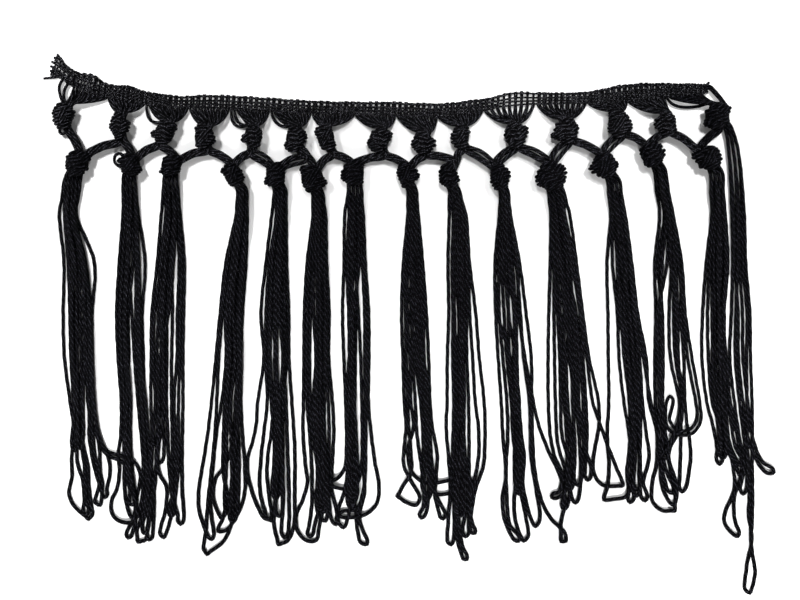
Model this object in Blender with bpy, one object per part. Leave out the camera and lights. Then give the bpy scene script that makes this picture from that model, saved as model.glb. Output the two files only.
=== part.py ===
"""Knotted tassel fringe trim, lying flat: heading, fans with knots, and looped tassels.

The trim lies on a table (z = 0) with its heading along +X and its tassels toward -Y.
Places in the tables are millimetres across the table; MM turns them into metres.
"""
import math
from typing import NamedTuple

import bmesh
import bpy
import numpy as np

# Driving dimensions, in millimetres
MM = 0.001
MIDDLE_X = -0.15
MIDDLE_Y = 0.25
CORD = 1.6
CORD_HEIGHT = 1.05
STRAND_GAP = 0.18
PIECE_GAP = 0.34
HEM_GAP = 0.75
BAND_CREST = 2.5
BAND_GROOVE = 1.9
BAND_WALES = 3
BAND_COLUMNS = 28
FAN_TOP_HEIGHT = 2.0
FAN_NECK_HEIGHT = 5.2
FAN_RIDGES = 3
KNOT_THICKNESS = 7.6
KNOT_RIDGES = 3
KNOT_SIDES = 7
KNOT_CLEARANCE = 0.4
LEG_WIDTH = 4.5
LEG_HEIGHT = 3.6
LEG_LOW = 1.7
LEG_STRANDS = 2
COLLAR_LENGTH = 3.2
COLLAR_HEIGHT = 5.4
ROOT_ROWS = 3
ROOT_TAPER = 36.0
SHOULDER_Y = 50.0
RUN_LEVELS = (28.0, 5.0, -15.0, -35.0)
SAMPLE_STEP = 1.0
ROUTE_TOLERANCE = 0.75
HEIGHT_WEIGHT = 0.3
MAX_SLOPE = 0.6
TOP_WEIGHT = 0.2


class Section(NamedTuple):
    """A section across the heading: its upper and its lower edge."""

    top_x: float
    top_y: float
    low_x: float
    low_y: float


class Fan(NamedTuple):
    """A fan: the valley at its left, where it enters its knot, and the knot."""

    valley_x: float
    valley_y: float
    neck_x: float
    knot_x: float
    knot_y: float
    knot_w: float
    knot_h: float
    lean: float


class Head(NamedTuple):
    """A tassel's knot, the neck below it and the width of the tassel at its shoulder."""

    knot_x: float
    knot_y: float
    knot_w: float
    knot_h: float
    lean: float
    neck_x: float
    neck_y: float
    neck_w: float
    left: float
    right: float


class Loop(NamedTuple):
    """A looped cord: x of each run at RUN_LEVELS, and the turn between the two runs."""

    down: tuple
    turn: tuple
    up: tuple


HEADING = (
    Section(-159.0, 121.3, -161.6, 112.6),
    Section(-155.5, 117.6, -157.2, 110.6),
    Section(-149.5, 113.6, -153.0, 107.6),
    Section(-142.0, 111.9, -144.5, 104.0),
    Section(-136.5, 108.3, -136.0, 101.8),
    Section(-126.0, 107.0, -126.5, 100.4),
    Section(-118.5, 104.6, -119.0, 99.2),
    Section(-104.0, 102.8, -104.0, 97.4),
    Section(-90.0, 103.2, -90.0, 97.0),
    Section(-70.0, 102.3, -70.0, 96.3),
    Section(-50.0, 100.9, -50.0, 95.0),
    Section(-30.0, 100.1, -30.0, 94.4),
    Section(-10.0, 100.1, -10.0, 94.0),
    Section(15.0, 99.4, 15.0, 93.2),
    Section(27.0, 100.7, 28.0, 95.0),
    Section(37.0, 102.3, 38.0, 97.0),
    Section(46.5, 104.6, 48.0, 98.2),
    Section(60.0, 104.3, 60.0, 98.8),
    Section(80.0, 104.6, 80.0, 99.4),
    Section(93.0, 107.2, 93.0, 99.8),
    Section(101.0, 108.2, 101.0, 100.4),
    Section(118.0, 108.3, 118.0, 102.4),
    Section(134.0, 107.9, 134.0, 104.4),
)

# Short ends of yarn that stick out of the heading: inner and outer end
FRAY = (
    ((-157.0, 118.6), (-158.4, 122.0)),
    ((-158.6, 117.6), (-162.2, 119.4)),
    ((-158.8, 115.0), (-163.0, 115.6)),
    ((-155.6, 112.3), (-165.0, 110.9)),
    ((131.2, 106.6), (134.6, 109.2)),
)

FANS = (
    Fan(-156.4, 109.0, -152.8, -155.8, 94.0, 10.5, 12.0, 10.0),
    Fan(-136.0, 101.2, -129.0, -130.6, 89.5, 8.7, 13.0, -4.0),
    Fan(-119.0, 99.0, -108.2, -110.2, 86.5, 10.5, 10.5, -22.0),
    Fan(-99.5, 97.0, -90.6, -92.5, 84.5, 10.0, 11.0, -5.0),
    Fan(-80.9, 96.7, -70.2, -70.5, 84.8, 9.4, 10.5, 0.0),
    Fan(-62.9, 96.0, -51.2, -51.5, 83.5, 10.0, 12.0, 0.0),
    Fan(-44.3, 94.7, -37.5, -37.8, 84.2, 9.0, 11.5, 4.0),
    Fan(-24.8, 94.2, -12.6, -13.8, 83.2, 10.7, 11.5, -6.0),
    Fan(-6.1, 93.9, 7.0, 5.8, 81.8, 11.0, 10.5, -8.0),
    Fan(12.6, 93.2, 23.0, 22.8, 84.5, 8.7, 11.0, 0.0),
    Fan(32.8, 96.4, 46.4, 47.4, 85.2, 11.2, 11.5, 8.0),
    Fan(56.7, 98.6, 69.2, 70.2, 87.2, 12.3, 11.5, 4.0),
    Fan(79.8, 99.4, 93.2, 93.9, 90.2, 11.8, 12.5, 6.0),
    Fan(98.0, 100.2, 114.8, 115.1, 90.0, 10.3, 11.0, 0.0),
    Fan(115.0, 102.0, 136.8, 138.0, 93.8, 13.0, 11.5, 12.0),
)
LAST_VALLEY = (134.0, 104.4)

HEADS = (
    Head(-149.5, 72.8, 12.4, 11.5, 6.0, -151.5, 65.5, 8.3, -158.4, -149.2),
    Head(-125.7, 72.0, 10.7, 10.0, 0.0, -126.3, 65.5, 6.8, -130.2, -121.2),
    Head(-107.2, 71.8, 10.7, 9.5, 0.0, -107.5, 65.5, 7.0, -112.7, -102.4),
    Head(-79.4, 67.5, 9.5, 11.0, 16.0, -75.6, 61.0, 5.6, -79.2, -72.2),
    Head(-60.4, 67.2, 10.2, 11.5, 10.0, -58.2, 60.5, 6.4, -62.8, -54.7),
    Head(-43.9, 66.0, 11.8, 12.0, 8.0, -41.6, 59.5, 6.2, -44.7, -36.9),
    Head(-25.4, 68.5, 11.2, 12.0, 4.0, -24.6, 61.5, 7.0, -30.2, -19.9),
    Head(-1.4, 67.5, 9.7, 12.0, 10.0, 0.9, 60.5, 5.4, -2.0, 4.7),
    Head(17.4, 67.0, 9.2, 12.0, 14.0, 20.0, 60.5, 5.8, 16.8, 26.2),
    Head(40.3, 66.5, 9.7, 12.0, 14.0, 42.4, 59.5, 5.2, 39.2, 46.2),
    Head(63.5, 66.8, 14.4, 13.5, 14.0, 65.6, 59.5, 8.2, 62.2, 72.5),
    Head(87.4, 71.8, 12.7, 11.5, 24.0, 91.4, 65.0, 7.0, 89.2, 97.9),
    Head(108.7, 76.8, 12.0, 10.5, 20.0, 112.3, 70.0, 6.0, 111.7, 119.2),
    Head(134.1, 75.0, 13.3, 11.0, 14.0, 137.6, 68.5, 7.0, 134.7, 142.9),
)

# Loops in the order in which they are laid, a table for each tassel
TASSEL_1 = (
    Loop((-149.0, -148.4, -147.9, -148.2), ((-148.7, -55.5),), (-147.3, -146.8, -146.4, -147.0)),
    Loop((-151.6, -151.9, -151.3, -150.6), ((-150.8, -56.5),), (-150.4, -149.8, -149.6, -149.4)),
    Loop(
        (-155.7, -156.1, -155.5, -152.9),
        ((-151.2, -48.0), (-152.3, -61.0), (-152.0, -68.0), (-153.4, -75.5), (-151.4, -81.0),
         (-144.6, -87.4), (-143.0, -85.6), (-144.4, -74.0), (-144.9, -64.0), (-147.6, -51.0)),
        (-152.3, -150.9, -150.0, -148.6),
    ),
    Loop(
        (-153.8, -153.1, -152.6, -151.3),
        ((-150.1, -50.0), (-149.6, -62.0), (-147.1, -70.5), (-146.6, -80.0), (-145.6, -85.3),
         (-145.4, -80.0), (-146.0, -68.0), (-147.2, -58.0)),
        (-153.0, -152.0, -151.6, -150.0),
    ),
    Loop(
        (-147.4, -146.0, -145.5, -144.3),
        ((-144.3, -50.0), (-143.0, -59.0), (-140.9, -68.0), (-138.7, -74.5), (-139.4, -81.0),
         (-141.8, -79.2), (-139.9, -73.0), (-139.6, -58.0)),
        (-146.4, -143.9, -142.9, -141.9),
    ),
    Loop(
        (-146.6, -145.0, -144.2, -143.0),
        ((-142.6, -50.0), (-141.5, -60.0), (-138.4, -71.0), (-137.3, -77.6), (-136.5, -74.6),
         (-134.9, -66.5), (-135.8, -59.5), (-139.4, -51.0)),
        (-145.8, -143.4, -142.8, -142.2),
    ),
    Loop(
        (-142.1, -143.0, -142.9, -142.0),
        ((-140.4, -47.0), (-136.6, -56.2), (-129.5, -59.0), (-123.8, -61.8), (-121.3, -68.0),
         (-123.0, -78.0), (-124.4, -87.0), (-127.5, -93.4), (-126.8, -95.8), (-125.0, -94.0),
         (-123.2, -86.0), (-125.4, -72.0), (-129.0, -62.0), (-136.4, -58.2), (-142.0, -47.0)),
        (-148.0, -145.6, -144.9, -144.9),
    ),
)
TASSEL_2 = (
    Loop((-130.0, -131.0, -130.7, -129.3), ((-128.6, -56.0), (-126.2, -72.0)), (-128.0, -129.2, -128.7, -127.9)),
    Loop(
        (-129.2, -130.2, -129.8, -128.4),
        ((-128.4, -62.0), (-128.3, -75.0), (-126.9, -83.0), (-124.4, -86.8), (-123.0, -82.0),
         (-125.0, -66.0)),
        (-127.4, -128.4, -128.0, -126.4),
    ),
    Loop(
        (-124.7, -126.7, -126.5, -127.2),
        ((-127.2, -64.0), (-126.0, -75.0), (-124.9, -80.8), (-124.2, -75.0), (-126.2, -62.0)),
        (-126.4, -127.7, -127.1, -125.6),
    ),
    Loop(
        (-130.8, -132.0, -131.3, -129.9),
        ((-130.2, -50.0), (-131.2, -58.0), (-130.7, -66.0), (-131.8, -73.5), (-134.4, -80.0),
         (-133.8, -85.4), (-129.5, -88.6), (-124.0, -88.2), (-120.9, -80.0), (-120.0, -64.0)),
        (-126.5, -125.2, -124.0, -122.4),
    ),
    Loop(
        (-123.3, -123.4, -122.9, -121.2),
        ((-119.9, -50.0), (-118.7, -66.0), (-120.2, -84.0), (-122.9, -93.0), (-122.4, -97.6),
         (-119.0, -96.6), (-117.6, -84.0), (-117.3, -62.0)),
        (-119.2, -120.5, -120.0, -119.5),
    ),
    Loop(
        (-122.9, -122.2, -121.7, -120.4),
        ((-119.2, -52.0), (-117.8, -70.0), (-116.6, -84.0), (-117.4, -96.6), (-115.6, -92.0),
         (-115.2, -78.0), (-116.8, -60.0)),
        (-121.9, -121.4, -121.0, -118.9),
    ),
)
TASSEL_3 = (
    Loop((-112.4, -113.2, -113.9, -113.2), ((-112.4, -62.0),), (-110.9, -112.0, -112.0, -111.4)),
    Loop((-111.6, -114.9, -115.4, -114.6), ((-114.2, -54.0),), (-109.9, -110.8, -110.8, -110.4)),
    Loop(
        (-113.7, -116.2, -116.5, -116.6),
        ((-115.9, -52.0), (-116.6, -66.0), (-118.6, -82.0), (-119.6, -93.6), (-117.6, -90.0),
         (-114.8, -72.0), (-113.9, -56.0)),
        (-109.2, -110.4, -110.6, -112.3),
    ),
    Loop(
        (-108.2, -109.4, -109.4, -109.6),
        ((-109.0, -50.0), (-108.4, -64.0), (-106.8, -78.0), (-104.4, -86.0), (-103.3, -89.6),
         (-101.7, -86.0), (-102.4, -76.0), (-102.6, -60.0)),
        (-101.6, -101.9, -102.2, -102.2),
    ),
    Loop(
        (-107.2, -106.9, -107.3, -107.3),
        ((-106.9, -52.0), (-106.9, -68.0), (-106.8, -82.0), (-108.2, -89.0), (-110.8, -95.6),
         (-112.6, -93.4), (-110.0, -83.0), (-109.6, -73.0), (-113.2, -65.4), (-112.8, -50.0)),
        (-106.4, -108.6, -112.4, -112.9),
    ),
    Loop(
        (-103.9, -104.7, -104.9, -106.2),
        ((-105.3, -56.0), (-105.6, -72.0), (-107.6, -86.0), (-105.9, -80.0), (-104.4, -66.0)),
        (-102.6, -103.2, -103.6, -104.2),
    ),
)
TASSEL_4 = (
    Loop(
        (-82.9, -85.5, -87.4, -89.4),
        ((-91.2, -50.0), (-93.1, -62.0), (-94.9, -73.0), (-95.1, -82.0), (-92.4, -91.5),
         (-89.2, -96.4), (-88.5, -92.0), (-89.9, -80.0), (-88.7, -64.0), (-87.0, -48.0)),
        (-81.2, -83.0, -82.8, -84.8),
    ),
    Loop((-79.0, -80.8, -80.8, -82.2), ((-82.6, -60.0), (-81.8, -84.0)), (-77.8, -79.4, -78.4, -80.6)),
    Loop(
        (-81.9, -84.4, -86.1, -87.0),
        ((-88.0, -52.0), (-89.4, -66.0), (-90.9, -80.0), (-91.9, -93.0), (-92.9, -101.0),
         (-91.4, -103.2), (-84.2, -97.6), (-80.7, -91.0), (-79.2, -80.0), (-78.4, -60.0)),
        (-79.9, -82.3, -81.9, -81.6),
    ),
    Loop(
        (-78.4, -80.2, -79.4, -80.9),
        ((-80.8, -57.0), (-83.8, -64.0), (-87.2, -68.8), (-88.6, -77.0), (-84.6, -87.0),
         (-81.0, -80.0), (-79.4, -64.0)),
        (-76.4, -78.2, -77.4, -78.7),
    ),
    Loop(
        (-73.8, -75.4, -76.0, -76.1),
        ((-75.4, -50.0), (-74.3, -64.0), (-74.6, -77.0), (-78.2, -86.4), (-82.4, -92.0),
         (-86.3, -92.8), (-84.2, -87.0), (-82.3, -77.0), (-84.0, -67.0), (-84.0, -50.0)),
        (-79.6, -81.6, -82.2, -83.4),
    ),
    Loop((-75.6, -76.9, -76.7, -77.6), ((-77.0, -62.0), (-79.8, -88.6)), (-74.8, -76.2, -75.9, -76.4)),
)
TASSEL_5 = (
    Loop(
        (-64.8, -67.1, -65.8, -68.6),
        ((-69.4, -46.0), (-71.0, -53.0), (-73.2, -61.0), (-72.9, -68.0), (-69.9, -78.5),
         (-65.6, -86.8), (-61.6, -88.0), (-60.2, -76.0), (-60.4, -58.0)),
        (-60.2, -60.6, -60.9, -60.4),
    ),
    Loop(
        (-63.2, -64.8, -64.9, -64.3),
        ((-65.5, -46.0), (-67.1, -60.0), (-67.6, -74.0), (-65.2, -84.6), (-62.9, -87.4),
         (-63.0, -80.0), (-64.4, -67.0), (-63.9, -58.0), (-62.4, -48.0)),
        (-61.9, -62.5, -62.9, -61.6),
    ),
    Loop((-58.9, -59.6, -60.0, -59.2), ((-59.2, -60.0), (-58.8, -86.0)), (-58.0, -58.5, -57.2, -58.4)),
    Loop(
        (-60.9, -61.6, -60.4, -59.8),
        ((-59.8, -60.0), (-60.6, -78.0), (-61.2, -90.0), (-59.2, -98.8), (-55.2, -97.2),
         (-52.4, -91.0), (-51.9, -74.0), (-51.9, -56.0)),
        (-55.5, -54.6, -54.5, -53.2),
    ),
    Loop(
        (-56.5, -56.4, -56.6, -55.8),
        ((-55.2, -54.0), (-54.5, -76.0), (-54.5, -89.0), (-56.6, -95.6), (-57.4, -84.0),
         (-57.2, -62.0)),
        (-57.4, -57.6, -57.0, -57.2),
    ),
    Loop((-62.9, -63.6, -63.8, -62.4), ((-61.0, -56.0), (-60.4, -78.0)), (-57.6, -56.0, -55.6, -57.0)),
)
TASSEL_6 = (
    Loop((-42.0, -41.6, -41.6, -41.7), ((-40.8, -58.0), (-39.8, -83.0)), (-40.6, -40.2, -40.2, -40.2)),
    Loop(
        (-46.3, -47.6, -47.8, -48.0),
        ((-48.2, -48.0), (-47.2, -62.0), (-46.2, -71.0), (-48.0, -78.0), (-51.2, -86.0),
         (-50.6, -92.6), (-46.4, -97.0), (-42.2, -96.8), (-40.8, -90.0), (-38.8, -80.0),
         (-38.6, -58.0)),
        (-40.0, -39.2, -38.6, -38.6),
    ),
    Loop(
        (-45.0, -46.0, -46.3, -46.3),
        ((-45.1, -50.0), (-44.2, -66.0), (-44.3, -82.0), (-45.8, -92.0), (-45.0, -95.2),
         (-43.2, -91.0), (-40.2, -80.0), (-39.8, -66.0), (-42.2, -50.0)),
        (-43.4, -43.3, -42.4, -43.4),
    ),
    Loop(
        (-43.9, -44.8, -45.2, -44.8),
        ((-43.6, -50.0), (-41.6, -66.0), (-42.2, -78.0), (-41.4, -85.0), (-38.0, -88.2),
         (-37.4, -76.0), (-38.9, -60.0)),
        (-38.6, -38.2, -39.2, -40.6),
    ),
    Loop(
        (-37.5, -36.4, -36.6, -34.9),
        ((-34.3, -48.0), (-35.1, -64.0), (-35.2, -74.0), (-33.2, -83.0), (-33.3, -89.8),
         (-36.0, -84.0), (-36.8, -68.0), (-36.4, -50.0)),
        (-38.3, -37.8, -37.6, -36.8),
    ),
    Loop((-41.4, -40.9, -41.0, -42.6), ((-39.6, -60.0), (-38.4, -84.0)), (-39.4, -40.4, -39.8, -39.4)),
)
TASSEL_7 = (
    Loop((-28.4, -27.6, -27.4, -28.0), ((-27.6, -60.0), (-26.6, -82.0)), (-27.0, -26.4, -26.4, -26.6)),
    Loop(
        (-29.7, -30.4, -29.8, -29.0),
        ((-28.6, -56.0), (-29.6, -65.0), (-32.8, -69.0), (-35.9, -71.0), (-33.4, -73.0),
         (-28.0, -73.6), (-23.6, -70.6), (-21.8, -62.0), (-21.5, -50.0)),
        (-24.4, -23.2, -22.2, -21.7),
    ),
    Loop(
        (-27.6, -27.0, -26.6, -27.4),
        ((-27.9, -62.0), (-29.0, -73.0), (-31.9, -82.0), (-33.0, -87.8), (-29.8, -91.2),
         (-28.4, -88.0), (-26.2, -78.0), (-26.4, -60.0)),
        (-26.2, -25.4, -25.2, -25.8),
    ),
    Loop(
        (-23.6, -24.3, -24.6, -24.8),
        ((-25.6, -60.0), (-25.9, -74.0), (-24.4, -84.0), (-23.7, -92.0), (-22.4, -97.6),
         (-19.2, -98.6), (-20.6, -94.0), (-22.8, -86.0), (-20.6, -76.0), (-20.9, -60.0)),
        (-21.4, -20.4, -20.4, -20.2),
    ),
    Loop(
        (-20.1, -18.6, -18.5, -18.7),
        ((-17.8, -46.0), (-16.1, -60.0), (-13.9, -74.0), (-15.6, -81.4), (-21.0, -85.6),
         (-28.0, -86.6), (-32.0, -85.2), (-24.0, -82.6), (-20.9, -74.0), (-20.0, -54.0)),
        (-21.0, -20.0, -19.6, -19.8),
    ),
    Loop((-25.6, -26.2, -27.4, -28.6), ((-27.0, -52.0), (-25.4, -80.0)), (-22.8, -25.4, -25.8, -24.8)),
)
TASSEL_8 = (
    Loop((-0.2, 2.6, 2.6, 5.4), ((6.6, -60.0), (8.0, -78.0)), (0.8, 3.4, 3.6, 6.6)),
    Loop(
        (1.4, 1.0, 1.2, 2.4),
        ((3.2, -50.0), (4.6, -60.0), (6.2, -72.0), (5.9, -82.0), (5.0, -86.8), (7.9, -81.0),
         (8.4, -70.0), (7.2, -56.0)),
        (2.6, 4.4, 5.0, 7.6),
    ),
    Loop(
        (-3.0, -3.8, -3.2, -2.6),
        ((-1.8, -46.0), (-2.9, -58.0), (-2.6, -64.0), (0.6, -70.4), (4.4, -78.0), (2.8, -81.0),
         (-2.8, -79.2), (-5.8, -77.0), (-3.0, -72.0), (0.3, -67.0), (0.3, -56.0), (-0.6, -46.0)),
        (-2.2, -2.0, -1.7, -1.0),
    ),
    Loop(
        (-1.0, -1.2, 0.0, 0.4),
        ((1.6, -46.0), (-1.0, -56.0), (0.6, -65.6), (5.4, -70.4), (12.0, -70.9), (20.0, -69.4),
         (27.2, -69.2), (28.2, -71.6), (22.0, -74.4), (12.0, -76.0), (9.4, -72.0), (9.0, -56.0)),
        (3.6, 5.2, 5.4, 9.0),
    ),
    Loop(
        (5.7, 7.4, 8.4, 9.0),
        ((10.0, -46.0), (12.2, -58.0), (11.8, -68.0), (11.3, -77.0), (13.2, -85.0), (15.0, -87.2),
         (15.6, -84.2), (11.6, -76.0), (10.2, -66.0), (9.0, -50.0)),
        (4.8, 6.0, 6.4, 8.4),
    ),
    Loop((0.6, 0.4, 2.2, 4.8), ((6.0, -54.0), (7.2, -76.0)), (2.0, 2.2, 4.4, 6.0)),
)
TASSEL_9 = (
    Loop((22.0, 23.0, 22.6, 23.0), ((23.6, -60.0), (22.2, -86.0)), (23.2, 23.9, 24.0, 24.4)),
    Loop(
        (17.1, 17.4, 16.8, 16.7),
        ((16.3, -46.0), (17.4, -60.0), (18.2, -72.0), (17.2, -88.0), (16.8, -96.4), (18.4, -98.8),
         (19.9, -94.0), (19.8, -78.0), (19.2, -60.0)),
        (18.9, 19.3, 19.2, 19.7),
    ),
    Loop(
        (20.2, 21.9, 21.8, 21.4),
        ((21.6, -54.0), (20.2, -68.0), (20.4, -86.0), (21.6, -98.0), (23.6, -104.4), (25.6, -105.4),
         (24.2, -101.0), (22.2, -92.0), (22.0, -70.0), (23.2, -54.0)),
        (21.0, 22.8, 23.2, 23.4),
    ),
    Loop(
        (24.0, 24.5, 24.0, 24.3),
        ((24.4, -54.0), (25.6, -68.0), (24.8, -84.0), (24.9, -95.2), (26.4, -88.0), (26.6, -66.0)),
        (25.2, 25.4, 25.6, 26.4),
    ),
    Loop(
        (26.8, 29.6, 31.2, 33.4),
        ((33.8, -50.0), (32.9, -64.0), (29.9, -72.4), (27.9, -82.0), (27.1, -92.6), (29.3, -93.6),
         (28.4, -90.4), (26.8, -80.0), (28.7, -71.0), (30.8, -60.0), (30.8, -46.0)),
        (26.2, 26.9, 28.2, 29.4),
    ),
    Loop((19.6, 20.0, 20.6, 20.9), ((20.9, -60.0), (21.4, -84.0)), (22.6, 22.4, 22.8, 22.4)),
)
TASSEL_10 = (
    Loop((42.4, 44.2, 44.6, 46.6), ((48.4, -60.0), (49.0, -76.0)), (43.8, 46.8, 46.6, 48.0)),
    Loop(
        (38.3, 38.6, 39.7, 41.1),
        ((41.8, -50.0), (43.2, -68.0), (41.6, -79.0), (43.0, -89.0), (48.8, -97.2), (45.0, -90.0),
         (43.6, -78.0), (43.2, -64.0), (44.0, -50.0)),
        (39.9, 40.2, 41.8, 43.6),
    ),
    Loop(
        (41.2, 42.3, 43.6, 45.6),
        ((46.4, -50.0), (48.4, -66.0), (46.8, -80.0), (47.9, -90.0), (51.2, -97.2), (53.3, -94.4),
         (51.4, -83.0), (49.4, -72.0), (49.2, -54.0)),
        (45.2, 46.9, 47.2, 49.3),
    ),
    Loop(
        (44.4, 44.4, 47.4, 47.4),
        ((49.8, -48.0), (51.4, -60.0), (50.7, -71.0), (53.4, -84.0), (56.4, -90.6), (58.5, -87.0),
         (56.8, -74.0), (54.6, -60.0), (54.2, -46.0)),
        (47.6, 49.7, 51.2, 53.8),
    ),
    Loop(
        (49.3, 52.3, 54.6, 54.8),
        ((55.2, -52.0), (56.2, -66.0), (59.2, -79.0), (63.0, -86.6), (69.6, -93.6), (70.2, -97.2),
         (68.0, -97.4), (67.9, -90.0), (69.8, -78.0), (67.4, -67.6), (62.2, -56.6), (57.6, -44.0)),
        (48.4, 49.0, 51.8, 55.6),
    ),
    Loop((46.0, 47.6, 48.2, 48.8), ((50.2, -50.0), (49.0, -74.0)), (40.4, 39.6, 45.2, 47.2)),
)
TASSEL_11 = (
    Loop((66.0, 67.6, 68.0, 69.4), ((70.8, -56.0), (72.0, -74.0)), (67.4, 69.2, 69.2, 70.4)),
    Loop((70.4, 71.6, 73.0, 73.2), ((74.2, -56.0), (75.4, -72.0)), (71.8, 73.0, 74.0, 74.9)),
    Loop(
        (63.1, 62.5, 62.2, 62.3),
        ((63.2, -50.0), (65.0, -59.0), (68.4, -68.0), (67.0, -75.0), (63.8, -77.6), (69.2, -75.2),
         (69.8, -66.0), (66.6, -54.0)),
        (64.6, 64.8, 65.1, 65.5),
    ),
    Loop(
        (68.8, 70.4, 71.8, 73.9),
        ((72.8, -54.0), (71.8, -66.0), (72.2, -75.0), (74.6, -80.0), (76.6, -73.0), (77.9, -60.0)),
        (70.0, 74.8, 76.4, 77.9),
    ),
    Loop(
        (65.2, 66.4, 67.4, 67.8),
        ((68.4, -50.0), (71.2, -61.0), (70.2, -73.0), (69.2, -82.8), (72.0, -73.0), (73.2, -58.0)),
        (69.6, 71.6, 70.4, 71.0),
    ),
    Loop(
        (72.8, 76.4, 77.8, 79.2),
        ((79.7, -50.0), (79.0, -62.0), (79.9, -69.8), (81.6, -65.0), (78.4, -54.0)),
        (71.4, 73.8, 75.6, 76.0),
    ),
    Loop(
        (74.9, 77.8, 80.6, 84.9),
        ((85.0, -46.0), (83.0, -57.0), (82.6, -66.0), (86.4, -71.8), (95.8, -72.2), (93.6, -66.0),
         (89.6, -56.0), (84.9, -43.0)),
        (74.2, 77.0, 79.6, 82.3),
    ),
)
TASSEL_12 = (
    Loop((95.4, 96.4, 98.4, 99.9), ((101.6, -52.0), (102.2, -74.0)), (96.6, 97.8, 99.8, 101.2)),
    Loop(
        (88.7, 89.1, 89.3, 89.5),
        ((88.8, -50.0), (89.6, -66.0), (88.4, -74.6), (87.2, -78.6), (91.0, -78.4), (97.2, -77.0),
         (99.3, -70.0), (98.9, -52.0)),
        (91.1, 93.3, 94.1, 96.3),
    ),
    Loop(
        (94.2, 95.0, 96.4, 98.7),
        ((98.9, -54.0), (97.7, -67.0), (98.4, -76.0), (99.0, -79.8), (100.8, -76.0), (100.4, -58.0)),
        (97.8, 99.2, 101.2, 101.4),
    ),
    Loop(
        (99.2, 101.0, 102.0, 103.7),
        ((103.6, -52.0), (103.2, -70.0), (105.8, -79.0), (105.0, -71.0), (107.6, -60.0), (106.2, -48.0)),
        (98.6, 100.4, 103.2, 104.6),
    ),
    Loop(
        (99.8, 102.5, 106.3, 107.6),
        ((110.6, -46.0), (112.2, -60.0), (114.6, -70.0), (118.0, -75.6), (115.4, -66.0), (112.6, -54.0)),
        (97.2, 101.6, 105.0, 108.4),
    ),
    Loop((93.2, 94.0, 98.0, 98.9), ((101.0, -60.0), (101.6, -77.0)), (94.8, 98.6, 100.2, 102.4)),
)
TASSEL_13 = (
    Loop((112.6, 113.4, 113.9, 113.6), ((113.6, -50.0), (114.8, -60.0)), (113.4, 112.4, 112.8, 112.6)),
    Loop(
        (110.2, 110.6, 110.2, 110.4),
        ((111.4, -50.0), (110.9, -63.0), (108.9, -72.0), (109.4, -80.0), (114.0, -83.6), (119.2, -83.6),
         (119.4, -77.0), (117.4, -66.0), (114.2, -52.0)),
        (111.6, 113.6, 113.8, 113.2),
    ),
    Loop(
        (117.6, 116.6, 117.2, 121.2),
        ((120.9, -42.0), (118.6, -50.6), (114.6, -56.0), (112.8, -64.0), (113.8, -74.0), (118.6, -81.0),
         (119.8, -72.0), (116.4, -58.0), (121.6, -46.0)),
        (118.8, 118.6, 119.4, 122.4),
    ),
    Loop(
        (119.4, 120.4, 120.8, 121.8),
        ((121.9, -50.0), (121.5, -66.0), (122.4, -75.0), (125.6, -66.0), (126.3, -57.0), (124.6, -44.0)),
        (121.9, 121.8, 123.2, 123.8),
    ),
    Loop(
        (122.2, 123.9, 126.9, 130.4),
        ((130.8, -43.0), (127.4, -48.4), (121.0, -49.4), (115.9, -46.4), (115.0, -39.0), (117.0, -32.0),
         (118.4, -35.4), (116.9, -43.0), (121.0, -47.6), (127.0, -46.0), (129.2, -41.0)),
        (120.6, 123.0, 124.9, 128.6),
    ),
    Loop((115.6, 111.2, 111.4, 112.0), ((113.0, -58.0),), (117.2, 119.6, 120.2, 122.8)),
)
TASSEL_14 = (
    Loop((136.4, 137.2, 137.4, 138.8), ((140.6, -60.0),), (138.0, 138.6, 138.8, 140.2)),
    Loop(
        (133.4, 131.7, 131.4, 133.6),
        ((136.4, -46.0), (138.1, -56.0), (139.2, -62.6), (140.8, -56.0), (138.8, -44.0)),
        (134.8, 133.9, 134.3, 136.0),
    ),
    Loop(
        (136.0, 135.9, 136.4, 138.0),
        ((140.4, -48.0), (143.6, -58.0), (147.0, -64.4), (149.8, -67.8), (146.2, -59.6), (142.6, -48.0)),
        (140.9, 141.4, 141.6, 142.6),
    ),
    Loop(
        (139.6, 140.0, 140.2, 141.2),
        ((141.9, -52.0), (145.0, -62.0), (145.9, -74.0), (141.9, -84.0), (141.6, -89.4), (147.6, -95.0),
         (146.4, -89.0), (145.8, -78.0), (149.2, -66.0), (147.8, -54.0)),
        (143.0, 141.2, 141.0, 144.2),
    ),
    Loop(
        (142.6, 139.4, 139.6, 139.8),
        ((142.6, -54.0), (146.6, -61.0), (150.6, -63.6), (147.0, -56.6), (144.4, -44.0)),
        (141.8, 140.6, 142.2, 143.8),
    ),
    Loop((137.4, 138.0, 136.0, 137.2), ((142.0, -57.0),), (138.8, 139.2, 140.8, 141.6)),
)
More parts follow.
